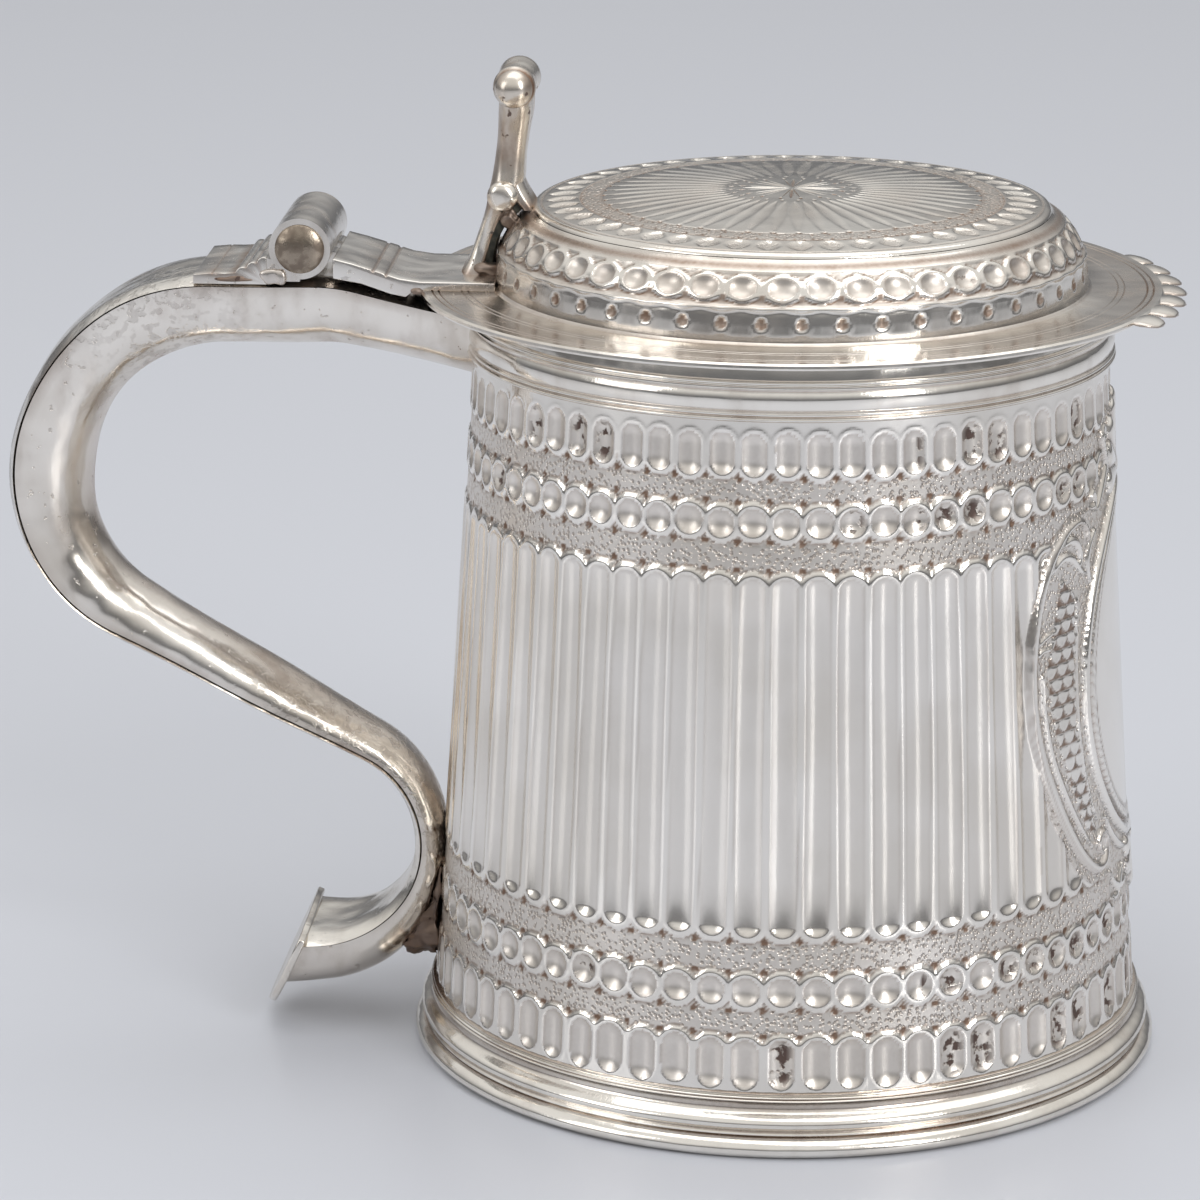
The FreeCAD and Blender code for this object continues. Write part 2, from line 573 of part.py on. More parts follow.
def handle_line():
    """From inside the barrel wall, over the hinge and round to the tail."""
    top = size(HANDLE_TOP)
    slope = math.radians(size("root_angle"))
    root_radius = size("root_radius")
    flat_start = size(PIN_X) + size("root_lead")
    shoulder = size("shoulder_radius")
    heel = size("heel_radius")
    knee = size("knee_radius")
    outermost = size(PIN_X) - size("handle_offset")
    rise_start_x = flat_start + root_radius * math.sin(slope)
    rise_start_z = top - root_radius * (1 - math.cos(slope))
    inside_x = -size(OUTER % "rim_height") + 4 * size("barrel_wall")
    root_length = (inside_x - rise_start_x) / math.cos(slope)
    heel_centre = (outermost + heel, top - shoulder)
    knee_x = -size(OUTER % "knee_height") - size("depth_knee") - knee
    across = knee_x - heel_centre[0]
    down = size("knee_height") - heel_centre[1]
    between = math.hypot(across, down)
    downhill = math.atan2(down, across) + math.asin((heel + knee) / between)
    line = HandleLine(inside_x, rise_start_z - root_length * math.sin(slope), math.pi - slope)
    line.run(root_length)
    line.run(root_radius * slope, slope)
    line.run(flat_start - outermost - shoulder)
    line.run(shoulder * QUARTER, QUARTER)
    line.run(heel * (QUARTER + downhill), QUARTER + downhill)
    line.run(math.sqrt(between ** 2 - (heel + knee) ** 2))
    line.run(knee * (QUARTER + downhill), -(QUARTER + downhill))
    line.run(knee * QUARTER * 0.45, -QUARTER * 0.45)
    line.run(knee * QUARTER * 0.55, -QUARTER * 0.55)
    line.run(size("tail_reach"))
    return line


# The section at the start and at the end of each stretch, and the steps between them.
SECTIONS = ["root", "root", "hinge", "hinge", "back", "heel", "calf", "knee", "neck", "tail", "tail"]
STEPS = [1, 2, 2, 8, 6, 3, 8, 4, 4, 3]


def stations(line):
    """Places along the handle, each a point, a heading, a width and a depth."""
    found = []
    for number, steps in enumerate(STEPS):
        before, after = SECTIONS[number], SECTIONS[number + 1]
        last = number == len(STEPS) - 1
        for step in range(steps + 1 if last else steps):
            share = step / steps
            found.append(line.along(number, share) + (
                (1 - share) * size("width_" + before) + share * size("width_" + after),
                (1 - share) * size("depth_" + before) + share * size("depth_" + after)))
    return found


def placed(station, across, inward):
    """A point of a section: across along Y, inward to the left of the heading."""
    x, z, heading = station[:3]
    return V(x - inward * math.sin(heading), across, z + inward * math.cos(heading))


def half_round(station, inside, way):
    """The rounded side of a section, moved in by inside, drawn right to left where way is 1."""
    start = size("strap_thickness")
    half_width = station[3] / 2 - size("belly_inset") - inside
    depth = station[4] - inside - start
    points = []
    for step in range(9):
        turn = math.pi * step / 8
        points.append(placed(station, -way * half_width * math.cos(turn),
                             start + depth * math.sin(turn) ** 0.8))
    curve = Part.BSplineCurve()
    curve.interpolate(points)
    return curve.toShape()


def ends_of(curve):
    return curve.valueAt(curve.FirstParameter), curve.valueAt(curve.LastParameter)


def strap_wire(station):
    half_width = station[3] / 2
    thickness = size("strap_thickness")
    corners = [placed(station, -half_width, 0), placed(station, half_width, 0),
               placed(station, half_width, thickness), placed(station, -half_width, thickness)]
    return Part.makePolygon(corners + corners[:1])


def belly_wire(station):
    """The rounded wall: its outside, its inside and the two edges against the strap."""
    outside = half_round(station, 0, 1)
    inside = half_round(station, size("belly_wall"), -1)
    (right_out, left_out), (left_in, right_in) = ends_of(outside), ends_of(inside)
    return Part.Wire([outside, Part.makeLine(left_out, left_in), inside,
                      Part.makeLine(right_in, right_out)])


def full_wire(station):
    """The belly's outside, closed across."""
    outside = half_round(station, 0, 1)
    right_out, left_out = ends_of(outside)
    return Part.Wire([outside, Part.makeLine(left_out, right_out)])


def loft(wire, places):
    return Part.makeLoft([wire(station) for station in places], True, True)


def only_solid(shape):
    """The largest solid of a shape, without the compound around it."""
    return max(shape.Solids, key=lambda solid: solid.Volume)


def feature(label, shape):
    """A piece whose shape is made here."""
    item = doc.addObject("Part::Feature", label)
    item.Label = label
    item.Shape = shape
    item.Placement = FreeCAD.Placement()


outer_line = handle_line()
places = stations(outer_line)
cone_height = size("rim_height")
barrel_cone = Part.makeCone(size(OUTER % "0"), size(OUTER % "rim_height"), cone_height)

# The end plate leans out at its foot; what lies beyond its plane is cut from the tail.
plate_lean = math.radians(size("end_plate_lean"))
plate_down = V(-math.sin(plate_lean), 0, -math.cos(plate_lean))
plate_out = V(-math.cos(plate_lean), 0, math.sin(plate_lean))
plate_top = V(places[-1][0] + size("tail_reach") * 0.85, 0,
              size("knee_height") - size("knee_radius") + size("end_plate_proud"))


def on_plate(across, down):
    return plate_top + plate_down * down + V(0, across, 0)


cut_side = size("end_plate_width")
cut_reach = size("end_plate_length") * 2
beyond = Part.Face(Part.makePolygon([
    on_plate(-cut_side, -cut_side * 0.1), on_plate(cut_side, -cut_side * 0.1),
    on_plate(cut_side, cut_reach), on_plate(-cut_side, cut_reach),
    on_plate(-cut_side, -cut_side * 0.1)])).extrude(plate_out * size("tail_reach") * 1.6)

belly_full = loft(full_wire, places)
for label, wire in (("handle_back_strap", strap_wire), ("handle_belly", belly_wire)):
    fitted = loft(wire, places).cut(barrel_cone).cut(rim_band.Shape).cut(beyond)
    feature(label, only_solid(fitted))

# A shield, straight at the top and pointed at the bottom.
half_plate = size("end_plate_width") / 2
plate_length = size("end_plate_length")
shoulder_down = plate_length * 0.45


def shield_side(side):
    """The curved lower side of the shield, from its widest point to its tip."""
    return Part.Arc(on_plate(side * half_plate, shoulder_down),
                    on_plate(side * half_plate * 0.62, plate_length * 0.79),
                    on_plate(0, plate_length)).toShape()


shield = Part.Face(Part.Wire(Part.__sortEdges__([
    Part.makeLine(on_plate(-half_plate, 0), on_plate(half_plate, 0)),
    Part.makeLine(on_plate(half_plate, 0), on_plate(half_plate, shoulder_down)),
    shield_side(1), shield_side(-1),
    Part.makeLine(on_plate(-half_plate, shoulder_down), on_plate(-half_plate, 0)),
])))
feature("handle_end_plate", shield.extrude(plate_out * size("end_plate_thickness")))

# The pad that joins the lower curve of the handle to the barrel, round at the top and bottom.
pad_high = size("knee_height") - size("pad_drop")
pad_low = pad_high - size("pad_length")
pad_half = size("pad_width") / 2
pad_face = Part.Face(Part.Wire(Part.__sortEdges__([
    Part.Arc(V(0, -pad_half, pad_low + pad_half), V(0, 0, pad_low),
             V(0, pad_half, pad_low + pad_half)).toShape(),
    Part.makeLine(V(0, pad_half, pad_low + pad_half), V(0, pad_half, pad_high - pad_half)),
    Part.Arc(V(0, pad_half, pad_high - pad_half), V(0, 0, pad_high),
             V(0, -pad_half, pad_high - pad_half)).toShape(),
    Part.makeLine(V(0, -pad_half, pad_high - pad_half), V(0, -pad_half, pad_low + pad_half)),
])))
pad_reach = size(OUTER % "knee_height") + size("depth_knee") + 0.15 * size("knee_radius")
pad_block = pad_face.extrude(V(-pad_reach, 0, 0)).cut(barrel_cone).cut(belly_full)
feature("lower_joint_pad", only_solid(pad_block))
doc.recompute()

# ---------------------------------------------------------------- checks and export

nodes = [item for item in doc.Objects
         if item.TypeId in ("PartDesign::Body", "Part::Feature", "Part::Cylinder")]
for item in doc.Objects:
    if "Invalid" in item.State or "Error" in item.State:
        raise RuntimeError("%s failed: %s" % (item.Name, item.State))
for item in nodes:
    if item.Shape.isNull() or not item.Shape.isValid() or item.Shape.Volume <= 0:
        raise RuntimeError("%s has no valid shape" % item.Label)

os.makedirs("parts", exist_ok=True)
for item in nodes:
    item.Shape.exportStep(os.path.join("parts", item.Label + ".step"))
    box = item.Shape.optimalBoundingBox(True)
    print("%-22s %2d solid %10.1f mm3  x %7.1f %7.1f  y %6.1f %6.1f  z %6.1f %6.1f" % (
        item.Label, len(item.Shape.Solids), item.Shape.Volume,
        box.XMin, box.XMax, box.YMin, box.YMax, box.ZMin, box.ZMax))
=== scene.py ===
import math

import bpy
import numpy as np
from mathutils import Matrix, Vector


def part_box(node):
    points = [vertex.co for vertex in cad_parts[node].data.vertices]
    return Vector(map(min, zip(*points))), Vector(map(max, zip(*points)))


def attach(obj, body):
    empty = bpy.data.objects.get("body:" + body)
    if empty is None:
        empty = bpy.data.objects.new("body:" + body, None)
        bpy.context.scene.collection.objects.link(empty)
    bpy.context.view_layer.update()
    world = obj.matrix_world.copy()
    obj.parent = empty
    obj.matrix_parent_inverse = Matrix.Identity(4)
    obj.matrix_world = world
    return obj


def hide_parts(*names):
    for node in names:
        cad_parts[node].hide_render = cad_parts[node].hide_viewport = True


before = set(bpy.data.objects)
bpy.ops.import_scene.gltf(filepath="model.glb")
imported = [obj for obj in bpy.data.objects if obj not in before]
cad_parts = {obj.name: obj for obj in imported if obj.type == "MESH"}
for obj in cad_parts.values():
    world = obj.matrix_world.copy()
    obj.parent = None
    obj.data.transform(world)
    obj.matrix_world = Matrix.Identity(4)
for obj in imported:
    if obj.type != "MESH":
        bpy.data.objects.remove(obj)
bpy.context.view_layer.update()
bpy.ops.object.select_all(action="DESELECT")

# ---------------------------------------------------------------- barrel wall
# Raised silver sheet, a straight cone.  Rows of hollows are punched into it from the outside, so
# that smooth rims are left round them; the ground between the rows is matted with a fine punch,
# and a small round punch is set in every cusp.

def box_mm(name):
    """Lowest and highest corner of a plain solid, in millimetres."""
    low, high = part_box(name)
    return np.round(np.array(low) * 1000, 3), np.round(np.array(high) * 1000, 3)


UNITS = 65
BASE_RADIUS = 61.9
TAPER = 0.0647
WALL = 1.2
RIM = box_mm("body_barrel")[1][2]
CHASED_BOTTOM = box_mm("foot_collar")[1][2]
CHASED_TOP = box_mm("rim_moulding")[0][2] + 0.2
FRONT_EDGE = 8.5 * 360 / UNITS    # the cartouche's piece of the wall ends here on each side
TUCKED_IN = 0.9                   # how far the edges of the sheet turn in behind their neighbours
GROUND = -0.34
DOT_RADIUS, DOT_DEPTH = 0.56, 0.3
BEAD, BEAD_WIDTH = 0.06, 0.35     # the low swelling on the rim of each hollow

# level of the centre, half width (None fills the pitch), half height, rim, depth, open side,
# levels of the small punches
WALL_ROWS = (
    (116.9, 2.0, 3.5, 0.95, 0.75, 1, (112.95,)),
    (105.75, 2.25, 2.3, 1.05, 0.85, 0, (109.1, 102.45)),
    (66.8, None, 29.8, 1.25, 0.75, 0, (97.95, 36.1)),
    (27.7, 2.4, 2.35, 1.15, 0.85, 0, (30.95, 24.4)),
    (15.3, 2.3, 4.2, 1.05, 0.8, -1, (20.1,)),
)


def cone_radius(z):
    return BASE_RADIUS - TAPER * z


def bell(distance, width):
    return np.exp(-(distance / width) ** 2)


def chased(angle, level, radius, rows, units, matted, spoilt_share):
    """Rows of punched hollows round a surface: how far it stands up or down at an angle and a
    level, and its finish there, which is tarnish, matting, frosting and dark specks."""
    pitch = 360 / units
    rough = np.zeros(angle.shape, dtype=bool)
    for low, high in matted:
        rough |= (level > low) & (level < high)
    ground = np.where(rough, GROUND, 0.0)
    height = ground.copy()
    matting = rough.astype(float)
    tarnish = 0.2 * matting
    frost = 0.6 * matting
    specks = np.zeros(angle.shape)
    for number, row in enumerate(rows):
        centre, half_width, half_height, rim, depth, open_side, punches = row
        hand = np.random.default_rng(40 + number).normal(0, 1, (4, units))
        unit = np.floor(angle / pitch + 0.5).astype(int)
        of_unit = unit % units
        across = np.radians(angle - unit * pitch) * radius + 0.1 * hand[0, of_unit]
        if half_width is None:
            half = np.maximum(radius * math.radians(pitch) / 2 - 0.5, 0.2)
            across = across + 0.13 * np.sin(level * 0.09 + 3 * hand[1, of_unit])
        else:
            half = half_width * (1 + 0.035 * hand[1, of_unit])
        up = level - centre - 0.12 * hand[2, of_unit]
        beyond = np.maximum(np.abs(up) - np.maximum(half_height - half, 0), 0)
        edge = np.hypot(across, beyond) - half
        share = np.clip(edge / rim, 0, 1)
        bead = BEAD * bell(edge - BEAD_WIDTH, BEAD_WIDTH)
        plain = (up * open_side > 0) & (edge > 0) & (np.abs(up) < half_height + 3)
        rolled = np.where(plain, bead, ground - ground * np.sqrt(1 - share ** 2) + bead)
        hollow = -depth * (1 - np.clip(1 + edge / half, 0, 1) ** 2)
        mine = (edge < rim) | plain
        height = np.where(mine, np.where(edge < 0, hollow, rolled), height)
        matting = np.where(mine, 0, matting)
        frosted = 0.55 if half_width is not None else 0.18
        frost = np.where(mine, np.where(edge < 0, frosted, 0.0), frost)
        inner = (0.2 if half_width is not None else 0.08) + 0.16 * bell(edge, 0.35)
        tarnish = np.where(mine, np.where(edge < 0, inner, 0.0), tarnish)
        line = np.where(mine, 0, bell(edge - rim - 0.12, 0.2))
        height = height - 0.12 * line
        tarnish = tarnish + 0.5 * line
        matting = matting * (1 - line)
        from_front = np.abs((angle + 180) % 360 - 180)
        spoilt = hand[3, of_unit] > np.where(from_front < 66, spoilt_share, 1.5)
        if half_width is not None:
            specks = np.where((edge < -0.25) & spoilt, np.clip(-edge / 1.2, 0, 1), specks)
        cusp = np.floor(angle / pitch).astype(int)
        beside = np.radians(angle - (cusp + 0.5) * pitch) * radius
        beside = beside + 0.1 * hand[0, cusp % units]
        for place in punches:
            away = np.hypot(beside, level - place - 0.1 * hand[1, cusp % units])
            inside = away < DOT_RADIUS
            punched = np.minimum(ground, -0.1) - DOT_DEPTH * (1 - (away / DOT_RADIUS) ** 2)
            height = np.where(inside, punched, height)
            tarnish = np.where(inside, 1.0, tarnish)
            matting = np.where(inside, 0, matting)
            frost = np.where(inside, 0.8, frost)
    return height, np.stack([tarnish, matting, frost, specks], axis=-1)


def formed_sheet(name, across, along, place, closed=False, crisp=None):
    """A grid with a vertex for every step across and along, each put where place says, because
    chasing and hand work differ from point to point.  A closed one is joined up and capped."""
    bpy.ops.mesh.primitive_grid_add(x_subdivisions=len(across) - 1,
                                    y_subdivisions=len(along) - 1, size=1)
    piece = bpy.context.object
    piece.name = name
    mesh = piece.data
    flat = np.empty(len(mesh.vertices) * 3)
    mesh.vertices.foreach_get("co", flat)
    flat = flat.reshape(-1, 3)
    column = np.rint((flat[:, 0] + 0.5) * (len(across) - 1)).astype(int)
    row = np.rint((flat[:, 1] + 0.5) * (len(along) - 1)).astype(int)
    x, y, z, finish = place(np.asarray(across)[column], np.asarray(along)[row])
    mesh.vertices.foreach_set("co", (np.stack([x, y, z], axis=-1) / 1000).ravel())
    layer = mesh.attributes.new("finish", "FLOAT_COLOR", "POINT")
    layer.data.foreach_set("color", np.clip(finish, 0, 1).astype(np.float32).ravel())
    if closed:
        bpy.ops.object.mode_set(mode="EDIT")
        bpy.ops.mesh.select_all(action="SELECT")
        bpy.ops.mesh.remove_doubles(threshold=0.000002)
        bpy.ops.mesh.fill_holes(sides=80)
        bpy.ops.mesh.normals_make_consistent(inside=False)
        bpy.ops.mesh.delete_loose()
        bpy.ops.object.mode_set(mode="OBJECT")
    mesh.update()
    if crisp:
        bpy.ops.object.shade_smooth_by_angle(angle=math.radians(crisp))
    else:
        bpy.ops.object.shade_smooth()
    bpy.ops.object.select_all(action="DESELECT")
    return piece


def even(start, end, step):
    return np.linspace(start, end, max(2, int(round(abs(end - start) / step)) + 1))


def wall_relief(angle, z):
    return chased(angle, z, cone_radius(z), WALL_ROWS, UNITS, ((19, 114),), -0.1)


def on_wall(angle, z):
    height, finish = wall_relief(angle, z)
    from_edge = np.abs((angle + 180) % 360 - 180) - FRONT_EDGE
    sunk = (from_edge < -0.01) | (z < CHASED_BOTTOM) | (z > CHASED_TOP)
    radius = cone_radius(z) + np.where(sunk, -TUCKED_IN, height)
    turn = np.radians(angle)
    return radius * np.cos(turn), radius * np.sin(turn), z, finish


levels = np.concatenate([[CHASED_BOTTOM - 0.01], even(CHASED_BOTTOM, 38.6, 0.42),
                         even(38.6, 95.2, 7)[1:], even(95.2, CHASED_TOP, 0.42)[1:],
                         [CHASED_TOP + 0.01]])
columns = np.concatenate([[FRONT_EDGE - 0.02],
                          even(FRONT_EDGE, 360 - FRONT_EDGE, 360 / UNITS / 14),
                          [360 - FRONT_EDGE + 0.02]])
wall = formed_sheet("barrel_wall", columns, levels, on_wall, crisp=70)


# Silver: a warm white metal, polished by use on what stands out, frosted in the punched hollows
# and brown with old tarnish in the lines, the small punches and the matting.

def srgb(code):
    """A colour as #rrggbb, as the linear values that a shader takes."""
    parts = [int(code[start:start + 2], 16) / 255 for start in (1, 3, 5)]
    return tuple(p / 12.92 if p < 0.04045 else ((p + 0.055) / 1.055) ** 2.4 for p in parts) + (1,)


def node(tree, kind, inputs=(), **settings):
    """Adds a shader node with its settings, sets or links its inputs, and returns its outputs."""
    made = tree.nodes.new("ShaderNode" + kind)
    for setting, value in settings.items():
        setattr(made, setting, value)
    for socket, value in dict(inputs).items():
        if hasattr(value, "is_output"):
            tree.links.new(value, made.inputs[socket])
        else:
            made.inputs[socket].default_value = value
    return made.outputs


def blank_material(name):
    """A new material with nothing in it yet, and its node tree."""
    material = bpy.data.materials.new(name)
    material.use_nodes = True
    material.node_tree.nodes.clear()
    return material, material.node_tree


def silver(name, bright, shade, polish, dents_mm, stain=0.0, pitting=0.0, marked=True):
    """The silver of one piece: its two tones, its polish, its dents, its tarnish and its pits.
    A piece that isn't marked has no finish of its own from place to place."""
    material, tree = blank_material(name)
    place = node(tree, "TexCoord")["Object"]
    tarnish = matting = frost = specks = 0.0
    if marked:
        finish = node(tree, "Attribute", attribute_name="finish", attribute_type="GEOMETRY")
        tarnish, matting, frost = node(tree, "SeparateColor", {"Color": finish["Color"]})[:3]
        specks = finish["Alpha"]

    # Two tones drift over 24 mm, and smears about 5 mm wide run up the piece.
    clouds = node(tree, "TexNoise", {"Vector": place, "Scale": 1000 / 24, "Detail": 4})[0]
    drift = node(tree, "MapRange", {"Value": clouds, "From Min": 0.35, "From Max": 0.7},
                 interpolation_type="SMOOTHSTEP")[0]
    metal = node(tree, "Mix", {0: drift, 6: srgb(bright), 7: srgb(shade)}, data_type="RGBA")[2]
    upright = node(tree, "Mapping", {"Vector": place, "Scale": (1, 1, 0.35)})[0]
    smears = node(tree, "TexNoise", {"Vector": upright, "Scale": 1000 / 5, "Detail": 4})[0]

    # Matting: round punch marks 0.75 mm apart.
    cells = node(tree, "TexVoronoi", {"Vector": place, "Scale": 1000 / 0.75})["Distance"]
    mark = node(tree, "MapRange", {"Value": cells, "From Min": 0.2, "From Max": 0.52,
                                   "To Min": 1.0, "To Max": 0.0},
                interpolation_type="SMOOTHSTEP")[0]
    matted = node(tree, "Math", {0: mark, 1: matting}, operation="MULTIPLY")[0]

    # Brown tarnish, and the brown painted shade that some pieces carry in the same channel, broken
    # up by a grain of 0.7 mm.
    smeared = node(tree, "MapRange", {"Value": smears, "From Min": 0.45, "From Max": 0.75},
                   interpolation_type="SMOOTHSTEP")[0]
    stained = node(tree, "Math", {0: smeared, 1: stain, 2: tarnish}, operation="MULTIPLY_ADD")[0]
    grain = node(tree, "TexNoise", {"Vector": place, "Scale": 1000 / 0.7, "Detail": 2})[0]
    uneven = node(tree, "Math", {0: grain, 1: 0.5, 2: 0.75}, operation="MULTIPLY_ADD")[0]
    broken = node(tree, "Math", {0: uneven, 1: stained}, operation="MULTIPLY")[0]
    brown = node(tree, "Math", {0: matted, 1: 0.3, 2: broken}, operation="MULTIPLY_ADD",
                 use_clamp=True)[0]
    metal = node(tree, "Mix", {0: brown, 6: metal, 7: srgb("#8d7565")}, data_type="RGBA")[2]

    # Dark specks where the finish asks for them, and pits eaten in anywhere.
    crumbs = node(tree, "TexNoise", {"Vector": place, "Scale": 1000 / 1.6, "Detail": 6})[0]
    fleck = node(tree, "MapRange", {"Value": crumbs, "From Min": 0.5, "From Max": 0.58},
                 interpolation_type="SMOOTHSTEP")[0]
    flecks = node(tree, "Math", {0: fleck, 1: specks}, operation="MULTIPLY")[0]
    eaten = node(tree, "MapRange", {"Value": crumbs, "From Min": 0.66, "From Max": 0.7,
                                    "To Max": pitting}, interpolation_type="SMOOTHSTEP")[0]
    marks = node(tree, "Math", {0: flecks, 1: eaten}, operation="MAXIMUM")[0]
    metal = node(tree, "Mix", {0: marks, 6: metal, 7: srgb("#70605a")}, data_type="RGBA")[2]

    frosted = node(tree, "Math", {0: frost, 1: 0.3, 2: polish}, operation="MULTIPLY_ADD")[0]
    rubbed = node(tree, "Math", {0: smeared, 1: 0.07, 2: frosted}, operation="MULTIPLY_ADD")[0]
    dulled = node(tree, "Math", {0: brown, 1: 0.22, 2: rubbed}, operation="MULTIPLY_ADD")[0]
    rough = node(tree, "Math", {0: marks, 1: 0.3, 2: dulled}, operation="MULTIPLY_ADD")[0]

    # Soft dents 7 mm across from the hammer, fine scratches along the piece, and the pits.
    hammered = node(tree, "TexNoise", {"Vector": place, "Scale": 1000 / 7, "Detail": 1})[0]
    dents = node(tree, "Bump", {"Height": hammered, "Strength": 1.0,
                                "Distance": dents_mm / 1000})[0]
    drawn = node(tree, "Mapping", {"Vector": place, "Scale": (1, 1, 0.06)})[0]
    scratches = node(tree, "TexNoise", {"Vector": drawn, "Scale": 1000 / 0.5, "Detail": 2})[0]
    scored = node(tree, "Bump", {"Height": scratches, "Strength": 1.0, "Distance": 0.000012,
                                 "Normal": dents})[0]
    struck = node(tree, "Math", {0: matted, 1: marks}, operation="ADD")[0]
    sunk = node(tree, "Math", {0: struck, 1: -1.0}, operation="MULTIPLY")[0]
    punched = node(tree, "Bump", {"Height": sunk, "Strength": 1.0, "Distance": 0.0002,
                                  "Normal": scored})[0]
    shader = node(tree, "BsdfPrincipled", {
        "Base Color": metal, "Metallic": 1.0, "Roughness": rough, "Normal": punched})
    node(tree, "OutputMaterial", {"Surface": shader[0]})
    return material


def dress(piece, material, body, *stands_for, slot="silver"):
    """Gives a piece its finish and its body, and hides the plain solids that it stands for."""
    piece.data.materials.clear()
    piece.data.materials.append(material)
    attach(piece, body)
    if stands_for:
        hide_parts(*stands_for)


def keep_plain(node_name, material):
    """Gives a plain solid its finish and leaves its shape alone."""
    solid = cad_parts[node_name]
    solid.data.materials.clear()
    solid.data.materials.append(material)


wall_silver = silver("wall_silver", "#f8f4ee", "#ece7df", 0.11, 0.04)
dress(wall, wall_silver, "vessel", "body_barrel")

# The inside of the barrel and its drinking rim, planished smooth with the edge rounded, and the
# disc of sheet that is soldered in as its floor.


def swell(start, end, rise, count):
    """Points along a low arc, which stands out to the right of its direction by rise."""
    start, end = np.array(start, float), np.array(end, float)
    along = end - start
    outward = np.array([along[1], -along[0]]) / math.hypot(*along)
    shares = np.linspace(0, 1, count + 1)
    return [tuple(start + along * s + outward * rise * 4 * s * (1 - s)) for s in shares]


def turned(name, section, stain):
    """A ring or cup turned round the axis from its half section, outside to the right."""
    points = np.array(section + section[:1])

    def place(angle, index):
        radius, z = points[index, 0], points[index, 1]
        finish = np.zeros((len(angle), 4))
        finish[:, 0] = stain(angle, radius, z)
        turn = np.radians(angle)
        return radius * np.cos(turn), radius * np.sin(turn), z, finish

    return formed_sheet(name, np.linspace(0, 360, 193), np.arange(len(points)), place,
                        closed=True, crisp=32)


lip = cone_radius(RIM)
lining = turned("barrel_lining", [
    (cone_radius(122.4), 122.4), (cone_radius(127), 127), (lip, RIM - 0.4),
    (lip - 0.15, RIM - 0.1), (lip - 0.6, RIM), (lip - 1.05, RIM - 0.1), (lip - WALL, RIM - 0.4),
    (cone_radius(90) - WALL, 90), (cone_radius(50) - WALL, 50), (cone_radius(9.4) - WALL, 9.4),
    (cone_radius(9.4) - WALL + 0.2, 9.4), (cone_radius(122) - WALL + 0.2, 122),
], stain=lambda angle, radius, z: 0.25 * bell(z - 9, 8))
plain_silver = silver("plain_silver", "#f5f1ea", "#e6e0d7", 0.12, 0.22, stain=0.15)
dress(lining, plain_silver, "vessel")
sheet_silver = silver("sheet_silver", "#f0ece6", "#d9d2c9", 0.16, 0.4, stain=0.3, marked=False)
keep_plain("base_disc", sheet_silver)

# ---------------------------------------------------------------- rim moulding
# A band of silver wire drawn through a shaped hole, reeded above and below a broad swell, bent
# round the barrel and soldered on below the rim, with brown tarnish left in its grooves.

rim_moulding = turned("rim_band", [(53.6, 122.4)]
    + swell((54.85, 122.4), (54.8, 123.15), 0.32, 6) + swell((54.75, 123.25), (54.7, 124.0), 0.3, 6)
    + swell((54.6, 124.2), (54.45, 127.4), 0.4, 10) + swell((54.5, 127.6), (54.4, 128.2), 0.26, 5)
    + swell((54.4, 128.3), (54.2, 129.0), 0.3, 5) + [(53.4, 129.0)],
    stain=lambda angle, radius, z: 0.6 * (bell(z - 123.2, 0.12) + bell(z - 124.1, 0.12)
                                          + bell(z - 127.5, 0.14) + bell(z - 122.4, 0.15)))
dress(rim_moulding, plain_silver, "vessel", "rim_moulding")

# ---------------------------------------------------------------- foot
# Three rings of drawn wire, soldered one on the other round the bottom of the barrel: a reeded
# collar, a swelling moulding under a hollow that holds brown tarnish, and the ring it stands on.


def foot_stain(angle, radius, z):
    patches = 0.7 + 0.3 * np.sin(np.radians(angle) * 7) * np.sin(np.radians(angle) * 3 + 1)
    hollow = 0.62 * bell(z - 8.2, 0.75)
    lines = 0.75 * (bell(z - 4.35, 0.16) + bell(z - 3.5, 0.18) + bell(z - 9.12, 0.2)
                    + bell(z - 9.65, 0.12) + bell(z - 10.6, 0.2))
    return (hollow + lines) * patches + 0.35 * (z < 0.2)


foot_collar = turned("collar_ring", [(61.0, 9.1)]
    + swell((61.95, 9.1), (61.95, 9.6), 0.28, 5) + swell((61.85, 9.66), (61.8, 10.1), 0.26, 5)
    + swell((61.7, 10.14), (61.55, 10.6), 0.22, 5) + [(60.6, 10.62)], stain=foot_stain)
dress(foot_collar, plain_silver, "vessel", "foot_collar")
foot_moulding = turned("moulding_ring", [(61.0, 3.5), (62.8, 3.5)]
    + swell((62.95, 3.6), (62.95, 4.3), 0.3, 5) + swell((62.9, 4.4), (62.75, 7.0), 1.0, 12)
    + swell((62.5, 7.15), (61.95, 9.05), -0.5, 8) + [(61.0, 9.1)], stain=foot_stain)
dress(foot_moulding, plain_silver, "vessel", "foot_moulding")
foot_wire = turned("standing_ring", [(58.6, 3.5), (58.6, 0.3), (58.9, 0.0), (63.2, 0.0)]
    + swell((63.7, 0.12), (63.8, 3.2), 1.2, 12) + [(63.3, 3.48), (60.0, 3.5)], stain=foot_stain)
dress(foot_wire, plain_silver, "vessel", "foot_base_wire")

# ---------------------------------------------------------------- cartouche
# The shield on the front of the barrel, raised from the inside and chased from the outside: a
# plain oval in a double frame, between C-scrolls with scaled panels and shells above and below.
# One half is given, as degrees from the middle and heights, and the other mirrors it.

